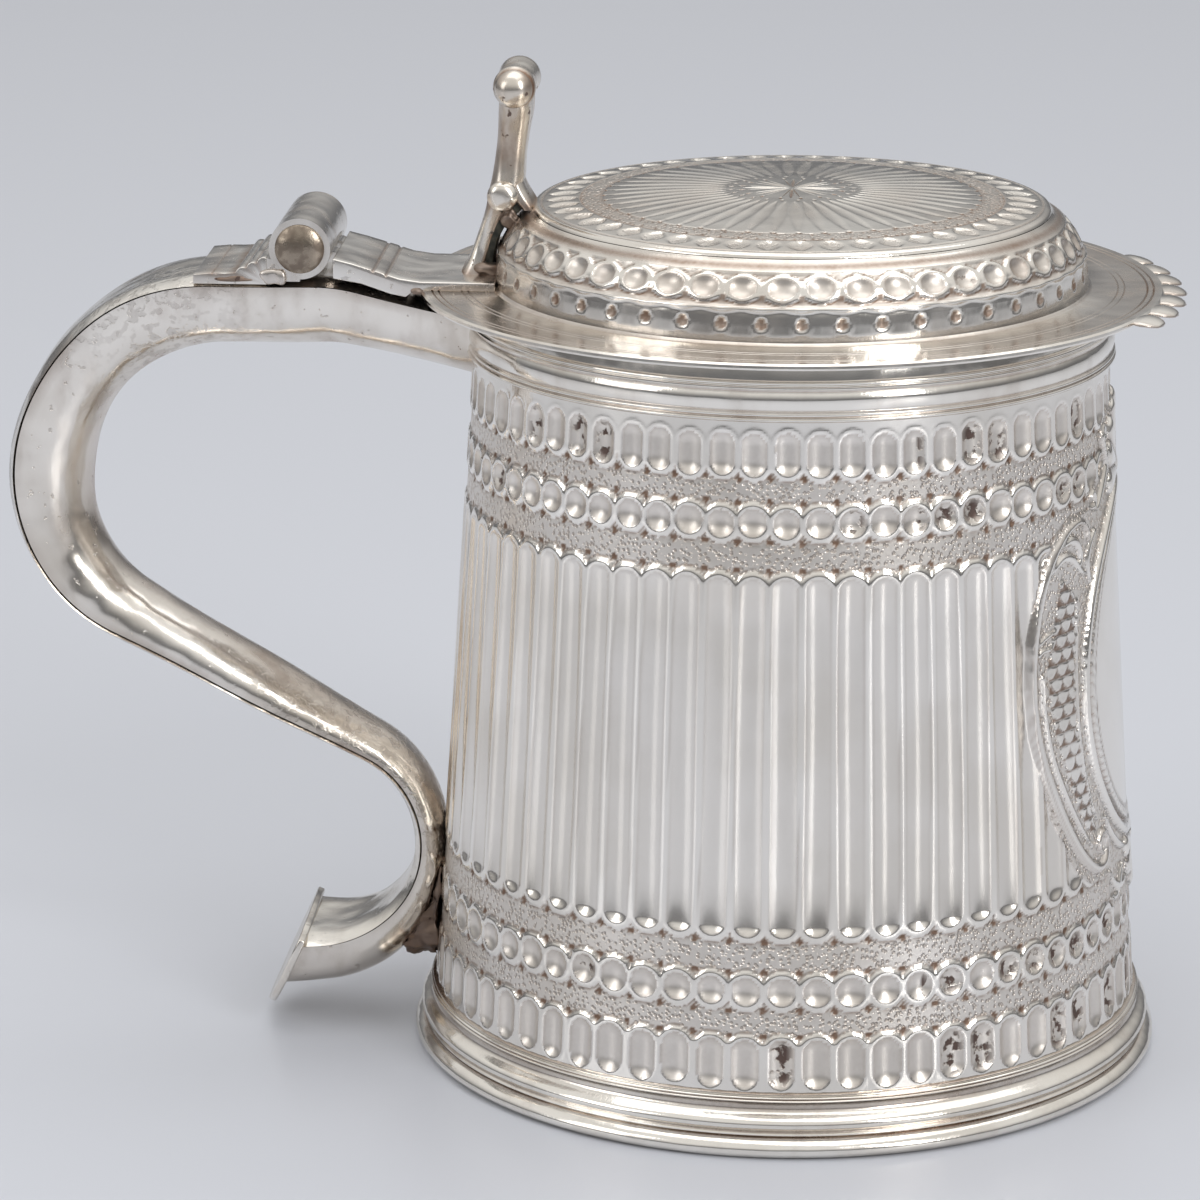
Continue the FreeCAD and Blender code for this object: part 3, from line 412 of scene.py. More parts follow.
MM_PER_DEGREE = math.radians(1) * cone_radius(70)
SHIELD_EDGE = (
    (0, 118), (-4, 117.6), (-8, 115.6), (-12.6, 114.4), (-16.4, 113.4), (-16.8, 110.6),
    (-15.4, 107.6), (-18.6, 104.8), (-21, 104.6), (-24, 103.6), (-24.6, 100.9), (-31.5, 100.9),
    (-36.1, 98.6), (-39.8, 94.4), (-42.4, 88.4), (-44, 81.5), (-44.6, 74), (-43.8, 65.7),
    (-41.7, 58), (-38.6, 50.4), (-34.9, 43.6), (-31.2, 38.6), (-27.5, 36.2), (-23.6, 35.7),
    (-21, 35.6), (-20.8, 31.4), (-18, 29.2), (-13.6, 29.8), (-9, 29), (-4, 27.4), (0, 26.8))
SCALE_PANEL = (
    (-34.3, 90.8), (-30.3, 87.4), (-30.6, 82), (-31.3, 72), (-30.9, 64), (-29, 56), (-26.8, 49.5),
    (-25.2, 45.2), (-28, 46), (-31.5, 52), (-35.4, 60), (-38, 68), (-39, 76.5), (-37.6, 81),
    (-36, 86))
OVAL_HEIGHT, OVAL_ACROSS, OVAL_UP = 69.8, 23.5, 26.7

# half width at the middle, height above the ground, and the line that the raised band follows
BANDS = (
    (1.5, 1.25, ((-24.8, 95.8), (-25.6, 98.6), (-29, 99.6), (-33.5, 98.2), (-38, 93.8), (-41.2, 87),
                 (-43, 79), (-43.2, 71), (-41.8, 63), (-38.8, 55.5), (-34.8, 48), (-30.3, 42),
                 (-26, 38.6), (-22.4, 38.4), (-20.6, 41), (-21.3, 44), (-23.6, 44.6),
                 (-24.8, 42.4), (-23.2, 40.8))),
    (0.75, 0.8, ((-40.4, 75.5), (-40.3, 70), (-38.8, 62), (-35.4, 54.5), (-31, 47.5),
                 (-26.8, 42.8))),
    (0.55, 0.7, ((-29.6, 86.5), (-30.3, 80), (-30.6, 72), (-30.4, 65), (-29.2, 58), (-27.2, 51.5),
                 (-24.8, 47))),
    (0.9, 0.95, ((-34.5, 96.2), (-31, 97), (-28.4, 95.6), (-27.6, 93), (-29.4, 91.6))),
    (0.9, 0.9, ((-38, 92), (-34, 94.6), (-30.4, 93.6), (-28.2, 91), (-26.2, 90.2))),
    (0.5, 0.6, ((-43.2, 79), (-40.8, 81.4), (-38.4, 82.2), (-36.2, 82.6))),
    (0.5, 0.6, ((-43.2, 77.5), (-41, 79.6), (-39, 80), (-37.4, 79.4))),
    (0.9, 0.85, ((-24.4, 88.4), (-25.6, 91.6), (-24.2, 94.6), (-21.6, 96.6))),
    (1.0, 1.0, ((-20.4, 99.8), (-17, 102.6), (-13.6, 105.6), (-12.4, 108.8))),
    (0.9, 0.9, ((-23.4, 102.6), (-22, 103.2), (-20.7, 102), (-21.2, 100.4), (-22.7, 100.6))),
    (0.9, 1.0, ((-12.2, 104), (-14.6, 108), (-15.9, 111.2), (-14.4, 112.9), (-12.9, 111.6),
                (-13.8, 110.3))),
    (0.9, 0.95, ((-20.2, 36.4), (-17.6, 33.2), (-13.8, 31.8), (-10, 32.6))),
    (0.8, 0.85, ((-19.6, 31.6), (-17, 30.8), (-14.6, 32.4), (-12.4, 35.6))),
    (0.9, 0.9, ((-21.4, 46.6), (-18.4, 42.6), (-14.2, 39.4), (-9, 37.4))),
)
# centre, inner and outer radius, lobes on each side, and 1 where it opens upwards
SHELLS = ((103.2, 2.2, 13.4, 4.5, 1), (37.0, 1.6, 9.4, 3.5, -1))


def to_line(across, up, points):
    """Distance to a line of points, and how far along it the nearest point is."""
    line = np.array(points, float)
    line[:, 0] *= MM_PER_DEGREE
    lengths = np.hypot(*np.diff(line, axis=0).T)
    starts = np.concatenate([[0], np.cumsum(lengths)])
    nearest = np.full(across.shape, 1e9)
    share = np.zeros(across.shape)
    for number, length in enumerate(lengths):
        (x, z), (next_x, next_z) = line[number], line[number + 1]
        along = ((across - x) * (next_x - x) + (up - z) * (next_z - z)) / length ** 2
        along = np.clip(along, 0, 1)
        away = np.hypot(across - x - along * (next_x - x), up - z - along * (next_z - z))
        closer = away < nearest
        nearest = np.where(closer, away, nearest)
        share = np.where(closer, (starts[number] + along * length) / starts[-1], share)
    return nearest, share


def within(across, up, points):
    """True inside a closed outline."""
    inside = np.zeros(across.shape, dtype=bool)
    for (x, z), (next_x, next_z) in zip(points, points[1:] + points[:1]):
        x, next_x = x * MM_PER_DEGREE, next_x * MM_PER_DEGREE
        crosses = (z > up) != (next_z > up)
        slope = (next_x - x) / (next_z - z) if next_z != z else 0.0
        inside ^= crosses & (across < x + (up - z) * slope)
    return inside


def rounded(points, passes=2):
    """The line with its corners cut, so that it runs in soft curves."""
    for _ in range(passes):
        pairs = list(zip(points, points[1:]))
        cut = [points[0]]
        for (x, z), (next_x, next_z) in pairs:
            cut += [(0.75 * x + 0.25 * next_x, 0.75 * z + 0.25 * next_z),
                    (0.25 * x + 0.75 * next_x, 0.25 * z + 0.75 * next_z)]
        points = tuple(cut + [points[-1]])
    return points


def cartouche(angle, z):
    """The relief and the finish of the shield, and True where it lies."""
    across = -np.abs(angle) * MM_PER_DEGREE
    inside = within(across, z, SHIELD_EDGE + ((1, 26.8), (1, 118)))
    border, _ = to_line(across, z, SHIELD_EDGE)
    height = np.full(angle.shape, -0.34)
    tarnish = np.full(angle.shape, 0.2)
    matting = np.ones(angle.shape)
    frost = np.full(angle.shape, 0.6)

    def raise_to(level, mask, stain):
        higher = mask & (level > height)
        height[higher] = level[higher]
        tarnish[higher] = stain[higher] if isinstance(stain, np.ndarray) else stain
        matting[higher] = 0
        frost[higher] = 0.08

    for centre, inner, outer, lobes, way in SHELLS:
        away = np.hypot(across, z - centre)
        turn = np.arctan2(across, (z - centre) * way) / math.radians(105) * lobes
        lobe = np.abs(np.cos(turn * math.pi))
        reach = inner + (outer - inner) * (0.86 + 0.14 * np.sqrt(lobe))
        fan = (away > inner) & (away < reach) & (np.abs(turn) < lobes)
        rise = -0.3 + 0.85 * np.sqrt(lobe) * np.clip((reach - away) / 1.2, 0, 1) ** 0.5
        rise = rise + 0.3 * (away - inner) / (outer - inner)
        raise_to(rise, fan, 0.65 * (1 - lobe) ** 2)
        boss = np.sqrt(np.clip(1 - (away / inner) ** 2, 0, 1))
        raise_to(-0.3 + 1.1 * boss, away < inner, 0.7 * (1 - boss) ** 2)

    panel = within(across, z, SCALE_PANEL)
    row = np.ceil(z / 2.4)
    column = np.round(across / 3.2 - 0.5 * (row % 2)) + 0.5 * (row % 2)
    from_centre = np.hypot(across - column * 3.2, (z - row * 2.4) * 0.8) / 1.72
    scale = from_centre < 1
    raise_to(np.where(scale, -0.14 + 0.2 * from_centre ** 2, -0.24), panel,
             np.where(scale, 0.75 * bell(from_centre - 0.97, 0.08), 0.9))

    for half_width, rise, points in BANDS:
        away, share = to_line(across, z, rounded(points))
        taper = np.sqrt(np.clip(4 * share * (1 - share), 0.18, 1))
        width = half_width * taper
        crest = np.clip(1 - (away / width) ** 2, 0, 1) ** 0.8
        vein = 0.1 * bell(away - 0.42 * width, 0.16) if half_width > 1 else 0.0
        raise_to(-0.34 + 0.72 * rise * crest - vein, away < width,
                 np.clip(0.6 * (1 - crest) ** 2 + 4 * vein, 0, 1))

    k = np.hypot(across / OVAL_ACROSS, (z - OVAL_HEIGHT) / OVAL_UP)
    out = np.hypot(across, z - OVAL_HEIGHT) * (1 - 1 / np.maximum(k, 0.05))
    turn = np.arctan2((z - OVAL_HEIGHT) / OVAL_UP, across / OVAL_ACROSS)
    perimeter = turn * (OVAL_ACROSS + OVAL_UP + 3) / 2
    frame_level = np.full(angle.shape, 0.1)
    beads = (out > 0) & (out < 0.55)
    frame_level = np.where(beads, 0.02 + 0.06 * np.abs(np.sin(perimeter * math.pi / 1.2)),
                           frame_level)
    hatched = (out >= 0.55) & (out < 2.4)
    hatch = np.abs(np.sin((perimeter + 0.8 * out) * math.pi / 1.5))
    swell_in = np.sqrt(np.clip(1 - ((out - 1.475) / 0.93) ** 2, 0, 1))
    frame_level = np.where(hatched, 0.36 * swell_in - 0.07 * (1 - hatch) ** 2, frame_level)
    groove = (out >= 2.4) & (out < 3.2)
    frame_level = np.where(groove, -0.3, frame_level)
    smooth = (out >= 3.2) & (out < 5.3)
    swell_out = np.clip(1 - ((out - 4.25) / 1.06) ** 2, 0, 1) ** 0.8
    frame_level = np.where(smooth, -0.15 + 0.85 * swell_out, frame_level)
    frame_stain = (0.75 * bell(out - 0.1, 0.12) + 0.75 * bell(out - 0.55, 0.1)
                   + hatched * 0.5 * (1 - hatch) ** 3 + 0.85 * bell(out - 2.8, 0.4)
                   + 0.5 * bell(out - 5.35, 0.15))
    oval = out < 5.3
    height = np.where(oval, frame_level, height)
    tarnish = np.where(oval, frame_stain, tarnish)
    matting = np.where(oval, 0, matting)
    frost = np.where(oval, np.where(hatched, 0.3, 0.0), frost)

    line = bell(border - 0.1, 0.25)
    height = height + 0.3 * bell(border - 0.7, 0.45) * (~oval)
    tarnish = tarnish + 0.55 * line
    finish = np.stack([tarnish, matting, frost, np.zeros(angle.shape)], axis=-1)
    share = np.where(inside, np.clip(border / 0.5, 0, 1), 0)
    return height, finish, share


def on_front(angle, z):
    height, finish = wall_relief(angle, z)
    shield, shield_finish, share = cartouche(angle, z)
    height = height * (1 - share) + shield * share
    finish = finish * (1 - share[:, None]) + shield_finish * share[:, None]
    sunk = (np.abs(angle) > FRONT_EDGE + 0.01) | (z < CHASED_BOTTOM) | (z > CHASED_TOP)
    radius = cone_radius(z) + np.where(sunk, -TUCKED_IN, height)
    turn = np.radians(angle)
    return radius * np.cos(turn), radius * np.sin(turn), z, finish


front_levels = np.concatenate([[CHASED_BOTTOM - 0.01], even(CHASED_BOTTOM, 26, 0.44),
                               even(26, 118.4, 0.34)[1:], even(118.4, CHASED_TOP, 0.44)[1:],
                               [CHASED_TOP + 0.01]])
front_columns = np.concatenate([[-FRONT_EDGE - 0.02], even(-FRONT_EDGE, FRONT_EDGE, 0.36),
                                [FRONT_EDGE + 0.02]])
front = formed_sheet("barrel_front", front_columns, front_levels, on_front, crisp=70)
dress(front, wall_silver, "vessel")

# ---------------------------------------------------------------- crown of the cover
# Raised like the barrel: a plain band with large punched dots at its foot, a row of hollows on
# its shoulder, a dark hollow band under the rounded edge, and an engraved star on the low dome.

COVER_UNITS = 48
COVER_SIDE = np.array([(50.2, 133.8), (50.15, 135.4), (49.95, 137.2), (49.75, 138.6),
                       (49.5, 139.6), (48.95, 141), (48.1, 142.6), (47.05, 144), (46.25, 144.9),
                       (45.2, 145.6), (44.2, 146.1), (43.75, 146.6)])
COVER_ROWS = ((142.2, 2.25, 2.3, 1.15, 0.7, 0, ()),)


def line_along(points):
    """Distances along a line of points."""
    return np.concatenate([[0], np.cumsum(np.hypot(*np.diff(points, axis=0).T))])


side_run = line_along(COVER_SIDE)
side_slope = np.gradient(COVER_SIDE, axis=0)
side_slope = side_slope / np.hypot(*side_slope.T)[:, None]


def on_crown_side(angle, distance):
    """A point of the crown's side, by its angle and how far it is up the side."""
    radius = np.interp(distance, side_run, COVER_SIDE[:, 0])
    z = np.interp(distance, side_run, COVER_SIDE[:, 1])
    level = 142.2 + (distance - 9.35) * 1.28
    shoulder = (distance > 5.9) & (distance < 12.1)
    height, finish = chased(angle, level, 48.0, COVER_ROWS, COVER_UNITS, ((138, 146.5),), 0.2)
    height = np.where(shoulder, height, 0)
    finish = np.where(shoulder[:, None], finish * (1.2, 0, 0.9, 0.6), 0)
    height = height + 0.34 * bell(distance - 6.1 - 0.22 * np.cos(np.radians(angle) * COVER_UNITS),
                                  0.55)
    finish[:, 0] += 0.55 * bell(distance - 7.0, 0.22) + 0.75 * bell(distance - 13.6, 0.95)
    finish[:, 0] += 0.3 * bell(distance - 0.1, 0.5)
    finish[:, 0] += 0.9 * bell(angle - 182, 11) * np.clip(1.3 - distance / 14, 0, 1)
    pitch = 360 / COVER_UNITS
    beside = (np.mod(angle / pitch, 1) - 0.5) * math.radians(pitch)
    for centre, half_across, half_up, depth in ((3.4, 0.85, 1.0, 0.42), (7.65, 0.5, 0.5, 0.3)):
        away = np.hypot(beside * 50 / half_across, (distance - centre) / half_up)
        dot = away < 1
        height = np.where(dot, -depth * np.clip(1 - away ** 2, 0, 1), height)
        height = height + 0.05 * bell(away - 1.5, 0.3) * (centre < 5)
        finish[:, 0] = np.where(dot, 0.8, finish[:, 0])
        finish[:, 1] = np.where(dot, 0.0, finish[:, 1])
        finish[:, 2] = np.where(dot, 0.7, finish[:, 2])
    radius = radius + height * np.interp(distance, side_run, side_slope[:, 1])
    z = z - height * np.interp(distance, side_run, side_slope[:, 0])
    turn = np.radians(angle)
    return radius * np.cos(turn), radius * np.sin(turn), z, finish


crown_side = formed_sheet("crown_side", even(0, 360, 360 / COVER_UNITS / 13),
                          even(0, side_run[-1], 0.3), on_crown_side, closed=True)
cover_silver = silver("cover_silver", "#f5f1ea", "#e6dfd6", 0.14, 0.15, stain=0.15)
dress(crown_side, cover_silver, "cover", "cover_crown")


def petals(angle, radius, count, inner, outer, share, shift=0.0):
    """How far inside a ring of leaf-shaped cuts a point is, 1 in the middle of a leaf."""
    pitch = 360 / count
    beside = (np.mod(angle / pitch + shift, 1) - 0.5) * math.radians(pitch) * radius
    along = np.clip((radius - inner) / (outer - inner), 0, 1)
    half = share * math.radians(pitch) * (inner + outer) / 4 * np.sin(math.pi * along) ** 0.7
    return np.clip(1 - (beside / np.maximum(half, 0.01)) ** 2, 0, 1) * (half > 0.02)


def on_crown_top(angle, radius):
    """A point of the low dome: the star, its rays, the matted ring and the petals by the edge."""
    z = 147.45 + 2.4 * (1 - (np.minimum(radius, 43.2) / 43.2) ** 2)
    rim_share = np.clip((radius - 42.7) / 1.05, 0, 1)
    z = np.where(radius > 42.7, z - 0.85 * (1 - np.sqrt(1 - rim_share ** 2 * 0.98)), z)
    tarnish = np.zeros(radius.shape)
    cut = np.zeros(radius.shape)
    matting = ((radius > 32.2) & (radius < 35.8)).astype(float)
    for count, inner, outer, share, depth, shift in (
            (16, 0.8, 7.4, 0.22, 0.2, 0), (8, 1.0, 8.2, 0.2, 0.25, 0.5),
            (COVER_UNITS, 11.5, 31.2, 0.88, 0.13, 0), (COVER_UNITS, 36.4, 41.2, 0.8, 0.36, 0)):
        leaf = petals(angle, radius, count, inner, outer, share, shift)
        cut = np.maximum(cut, depth * leaf)
        tarnish += (0.08 if count == COVER_UNITS else 0.85) * leaf
    for count, centre, size in ((COVER_UNITS, 31.7, 0.42), (72, 32.9, 0.3), (72, 35.3, 0.3),
                                (16, 8.6, 0.34), (24, 10.4, 0.3)):
        pitch = 360 / count
        beside = (np.mod(angle / pitch, 1) - 0.5) * math.radians(pitch) * radius
        dot = np.clip(1 - (beside / size) ** 2 - ((radius - centre) / size) ** 2, 0, 1)
        cut = np.maximum(cut, 0.3 * dot)
        tarnish = np.maximum(tarnish, (dot > 0) * 0.9)
        matting = np.where(dot > 0, 0, matting)
    for line in (32.2, 35.8, 42.3):
        cut = np.maximum(cut, 0.12 * bell(radius - line, 0.2))
        tarnish += 0.5 * bell(radius - line, 0.22)
    finish = np.stack([tarnish + 0.25 * matting, matting, 0.25 * (cut > 0.05) + 0.3 * matting,
                       0.25 * (radius > 31) * (cut > 0.1)], axis=-1)
    turn = np.radians(angle)
    return radius * np.cos(turn), radius * np.sin(turn), z - cut, finish


top_radii = np.concatenate([[0], even(0.6, 12, 0.4), even(12, 31.2, 0.8)[1:],
                            even(31.2, 42.6, 0.24)[1:], even(42.6, 43.75, 0.14)[1:]])
crown_top = formed_sheet("crown_top", even(0, 360, 360 / 576), top_radii, on_crown_top, closed=True)
dress(crown_top, cover_silver, "cover")

crown_lining = turned("crown_lining", [
    (0, 148.7), (30, 147.6), (42.0, 146.0), (45.2, 143.4), (48.2, 139), (49.1, 133.7),
    (49.6, 133.7), (48.8, 139), (45.6, 143.6), (42.3, 146.3), (30, 147.9), (0, 149.0)],
    stain=lambda angle, radius, z: 0.2 + 0 * z)
dress(crown_lining, plain_silver, "cover")

# ---------------------------------------------------------------- flange of the cover
# A flat ring of sheet round the crown, its edge rounded and two pairs of lines engraved near it,
# with seven small fingers at the front to lift the cover by.

flange = turned("flange_ring", [
    (49.1, 132.6), (62.3, 132.6), (62.8, 132.75), (63.0, 133.1), (62.95, 133.5), (62.6, 133.8),
    (61.35, 133.82), (61.15, 133.58), (60.95, 133.82), (60.3, 133.82), (60.1, 133.58),
    (59.9, 133.8), (56.4, 133.8), (56.25, 133.65), (56.1, 133.8), (55.3, 133.8), (55.15, 133.65),
    (55.0, 133.8), (50.9, 133.8), (50.5, 134.0), (50.1, 134.4), (49.1, 134.4)],
    stain=lambda angle, radius, z: (z > 133.4) * (0.9 * bell(radius - 61.15, 0.2)
        + 0.9 * bell(radius - 60.1, 0.2) + 0.5 * bell(radius - 56.25, 0.2)
        + 0.5 * bell(radius - 55.15, 0.2)) + 0.35 * bell(radius - 50.5, 0.5))
dress(flange, cover_silver, "cover", "cover_flange")
keep_plain("cover_bezel", sheet_silver)


FINGERS, FINGER_PITCH = 7, 7.5
FINGER_ROOT, FINGER_TIP = 60.3, 66.9


def on_finger(turn, radius):
    """One finger of the lip, about the X axis: a tongue that rises, broadens and droops."""
    along = (radius - FINGER_ROOT) / (FINGER_TIP - FINGER_ROOT)
    fullness = np.sqrt(np.clip(1 - along ** 4, 0, 1))
    half_width = 3.95 * fullness * np.clip(0.72 + 0.5 * along, 0, 1)
    half_height = 0.72 * fullness * np.clip(0.25 + 1.4 * along, 0, 1)
    angle = np.radians(turn)
    z = 133.3 - 0.7 * along ** 3 + half_height * np.sin(angle)
    finish = np.zeros((len(turn), 4))
    finish[:, 0] = 0.6 * np.clip(np.abs(np.cos(angle)) ** 6, 0, 1) * (along > 0.3)
    return radius + 0 * turn, half_width * np.cos(angle), z, finish


finger = formed_sheet("lip_finger_1", even(0, 360, 15), even(FINGER_ROOT, FINGER_TIP, 0.33),
                      on_finger, closed=True)
dress(finger, cover_silver, "cover")
for number in range(1, FINGERS):
    another = finger.copy()
    another.data = finger.data.copy()
    another.name = "lip_finger_%d" % (number + 1)
    bpy.context.collection.objects.link(another)
    turn = math.radians(FINGER_PITCH * (number - FINGERS // 2))
    another.data.transform(Matrix.Rotation(turn, 4, "Z"))
    dress(another, cover_silver, "cover")
finger.data.transform(Matrix.Rotation(math.radians(-FINGER_PITCH * (FINGERS // 2)), 4, "Z"))

# ---------------------------------------------------------------- hinge
# A five-knuckle hinge: three knuckles stand on a plate on the handle and two on the cover's leaf,
# with a pin through them under domed caps.  It has been taken off and soldered on again, so the
# silver here is duller, pitted, and blobbed with solder.


def evenly_marked(piece, stain):
    """The same tarnish all over a piece, and no specks."""
    layer = piece.data.attributes["finish"]
    layer.data.foreach_set("color", [stain, 0.0, 0.0, 0.0] * len(piece.data.vertices))


def soften(piece, edge_mm, angle):
    """Rounds the sharp edges of the active piece, as filing and wear leave them."""
    soft = piece.modifiers.new("soft_edges", "BEVEL")
    soft.width = edge_mm / 1000
    soft.segments = 3
    soft.limit_method = "ANGLE"
    soft.angle_limit = math.radians(angle)
    bpy.ops.object.modifier_apply(modifier=soft.name)


def eased(name, node_name, edge_mm):
    """A copy of a plain solid, merged into one skin, with its edges rounded."""
    piece = bpy.data.objects.new(name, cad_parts[node_name].data.copy())
    bpy.context.collection.objects.link(piece)
    bpy.context.view_layer.objects.active = piece
    piece.select_set(True)
    bpy.ops.object.mode_set(mode="EDIT")
    bpy.ops.mesh.select_all(action="SELECT")
    bpy.ops.mesh.remove_doubles(threshold=0.00001)
    bpy.ops.mesh.dissolve_limited(angle_limit=math.radians(1))
    bpy.ops.mesh.normals_make_consistent(inside=False)
    bpy.ops.object.mode_set(mode="OBJECT")
    if edge_mm:
        soften(piece, edge_mm, 35)
    piece.data.attributes.new("finish", "FLOAT_COLOR", "POINT")
    evenly_marked(piece, 0.05)
    bpy.ops.object.shade_smooth_by_angle(angle=math.radians(35))
    bpy.ops.object.select_all(action="DESELECT")
    return piece


hinge_silver = silver("hinge_silver", "#f0ede8", "#dad5ce", 0.18, 0.4, stain=0.25, pitting=0.25)


def knuckle_of(name, node_name):
    """One knuckle, a little wider than the plain solid, so that it all but meets the next one."""
    knuckle = eased(name, node_name, 0)
    low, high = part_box(node_name)
    middle = Matrix.Translation((0, (low[1] + high[1]) / 2, 0))
    closer = Matrix.Diagonal((1, 1.06, 1, 1))
    knuckle.data.transform(middle @ closer @ middle.inverted())
    return knuckle


for side in ("right", "middle", "left"):
    knuckle = knuckle_of("plate_knuckle_" + side, "fixed_knuckle_" + side)
    dress(knuckle, hinge_silver, "vessel", "fixed_knuckle_" + side)
for side in ("right", "left"):
    knuckle = knuckle_of("leaf_knuckle_" + side, "cover_knuckle_" + side)
    dress(knuckle, hinge_silver, "cover", "cover_knuckle_" + side)


def slab(name, section, half_width, edge_mm, stain=None):
    """A strip of metal with this section along X and Z, as wide as the hinge."""
    points = np.array(section + section[:1])

    def place(across, index):
        x, z = points[index, 0], points[index, 1]
        finish = np.zeros((len(across), 4))
        if stain:
            finish[:, 0] = stain(x, across, z)
        return x, across, z, finish

    piece = formed_sheet(name, even(-half_width, half_width, 2), np.arange(len(points)), place,
                         closed=True)
    bpy.context.view_layer.objects.active = piece
    piece.select_set(True)
    soften(piece, edge_mm, 40)
    bpy.ops.object.shade_smooth_by_angle(angle=math.radians(40))
    bpy.ops.object.select_all(action="DESELECT")
    return piece


HANDLE_TOP = box_mm("handle_back_strap")[1][2]
PLATE_FOOT = HANDLE_TOP - 0.6
reeds = swell((-87.9, 139.0), (-89.6, 138.15), 0.45, 6)
reeds += swell((-89.7, 138.1), (-91.4, 137.3), 0.45, 6)
reeds += swell((-91.5, 137.25), (-93.2, 136.5), 0.4, 6)
hinge_plate = slab("plate_on_handle", [(-100.5, PLATE_FOOT), (-87.9, PLATE_FOOT)] + reeds
                   + [(-93.4, 136.4), (-95, 136.3), (-97, 136.3), (-97.2, 136.1), (-97.4, 136.3),
                      (-100.4, 136.0)],
                   12, 0.25, lambda x, y, z: 0.7 * (bell(x + 89.65, 0.2) + bell(x + 91.45, 0.2)
                                                    + bell(x + 93.4, 0.3) + bell(x + 97.2, 0.25)))
dress(hinge_plate, hinge_silver, "vessel", "hinge_plate")

# The leaf lies on the flange and rises to the knuckles; two lines are cut across it.
leaf = slab("leaf_on_cover", [
    (-76.75, 135.6), (-72, 134.8), (-67, 133.1), (-64.4, 132.6), (-63.0, 133.75),
    (-49.4, 133.75), (-49.4, 135.15), (-55, 135.2), (-62, 135.25), (-65.5, 135.75),
    (-67.4, 136.35), (-67.75, 136.1), (-68.1, 136.6), (-69.6, 137.05), (-69.95, 136.8),
    (-70.3, 137.25), (-73.5, 138.2), (-76.75, 139.0)], 12, 0.3,
    lambda x, y, z: 0.8 * (bell(x + 67.75, 0.3) + bell(x + 69.95, 0.3)) + 0.5 * bell(x + 50, 1.2)
    + 0.35 * bell(x + 63.5, 1.6))
dress(leaf, hinge_silver, "cover", "cover_leaf")


def blob(name, place_mm, size_mm, material, body, seed):
    """A lump of run solder: a small ball, flattened and lumpy."""
    bpy.ops.mesh.primitive_ico_sphere_add(subdivisions=4, radius=0.001)
    piece = bpy.context.object
    piece.name = name
    lumps = np.random.default_rng(seed).normal(0, 1, (6, 4))
    for vertex in piece.data.vertices:
        here = np.array(vertex.co) * 1000
        bulge = 1 + 0.09 * sum(math.sin(wave[0] * 2 + float(here @ wave[1:]) * 2.2)
                               for wave in lumps)
        vertex.co = (here * bulge * np.array(size_mm) + np.array(place_mm)) / 1000
    piece.data.attributes.new("finish", "FLOAT_COLOR", "POINT")
    evenly_marked(piece, 0.3)
    bpy.ops.object.shade_smooth()
    bpy.ops.object.select_all(action="DESELECT")
    dress(piece, material, body, slot="solder")


# Solder: a soft grey alloy, dull and lumpy where it has run.
solder = silver("soft_solder", "#938981", "#6a6059", 0.36, 1.2, stain=0.6, pitting=1.0)
blob("solder_by_knuckle", (-86.4, -11.95, 136.0), (2.3, 0.95, 1.3), hinge_silver, "vessel", 3)
blob("solder_by_plate", (-93.5, -11.9, 135.35), (3.4, 0.5, 0.6), solder, "vessel", 4)

# The caps of the pin are yellow metal, gone brown.
brass, tree = blank_material("brown_brass")
place = node(tree, "TexCoord")["Object"]
patches = node(tree, "TexNoise", {"Vector": place, "Scale": 1000 / 1.8, "Detail": 4})[0]
worn = node(tree, "MapRange", {"Value": patches, "From Min": 0.42, "From Max": 0.66},
            interpolation_type="SMOOTHSTEP")[0]
colour = node(tree, "Mix", {0: worn, 6: srgb("#9c9082"), 7: srgb("#82766a")},
              data_type="RGBA")[2]
dull = node(tree, "Math", {0: worn, 1: 0.15, 2: 0.24}, operation="MULTIPLY_ADD")[0]
lumpy = node(tree, "TexNoise", {"Vector": place, "Scale": 1000 / 0.9, "Detail": 3})[0]
relief = node(tree, "Bump", {"Height": lumpy, "Strength": 1.0, "Distance": 0.00006})[0]
shader = node(tree, "BsdfPrincipled", {"Base Color": colour, "Metallic": 1.0, "Roughness": dull,
                                       "Normal": relief})
node(tree, "OutputMaterial", {"Surface": shader[0]})
for side in ("right", "left"):
    cap = eased("cap_of_pin_" + side, "pin_cap_" + side, 0.2)
    low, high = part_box("pin_cap_" + side)
    middle = Matrix.Translation(((low[0] + high[0]) / 2, 0, (low[2] + high[2]) / 2))
    cap.data.transform(middle @ Matrix.Diagonal((1.1, 1, 1.1, 1)) @ middle.inverted())
    dress(cap, brass, "vessel", "pin_cap_" + side, slot="pin_metal")
keep_plain("hinge_pin", brass)

# ---------------------------------------------------------------- thumbpiece
# One casting, soldered to the leaf and leaning on the crown's edge: a stem that narrows at the
# waist between a fat roll at the top and a small one behind the crown, on two short legs.


def stacked(name, levels, stain):
    """A round-cornered bar from its sections: height, middle, half depth, half width."""
    rows = np.array(levels, float)
    run = np.linspace(0, 1, len(rows))
    fine = np.linspace(0, 1, len(rows) * 5)
    table = np.stack([np.interp(fine, run, rows[:, column]) for column in range(4)], axis=-1)
    for _ in range(4):
        table[1:-1] = (table[:-2] + 2 * table[1:-1] + table[2:]) / 4

    def place(turn, index):
        z, middle, depth, width = table[index].T
        cosine, sine = np.cos(np.radians(turn)), np.sin(np.radians(turn))
        corner = (np.abs(cosine) ** 3.2 + np.abs(sine) ** 3.2) ** (-1 / 3.2)
        finish = np.zeros((len(turn), 4))
        finish[:, 0] = stain(cosine, z)
        return middle + depth * corner * cosine, width * corner * sine, z, finish

    return formed_sheet(name, even(0, 360, 9), np.arange(len(table)), place, closed=True,
                        crisp=50)


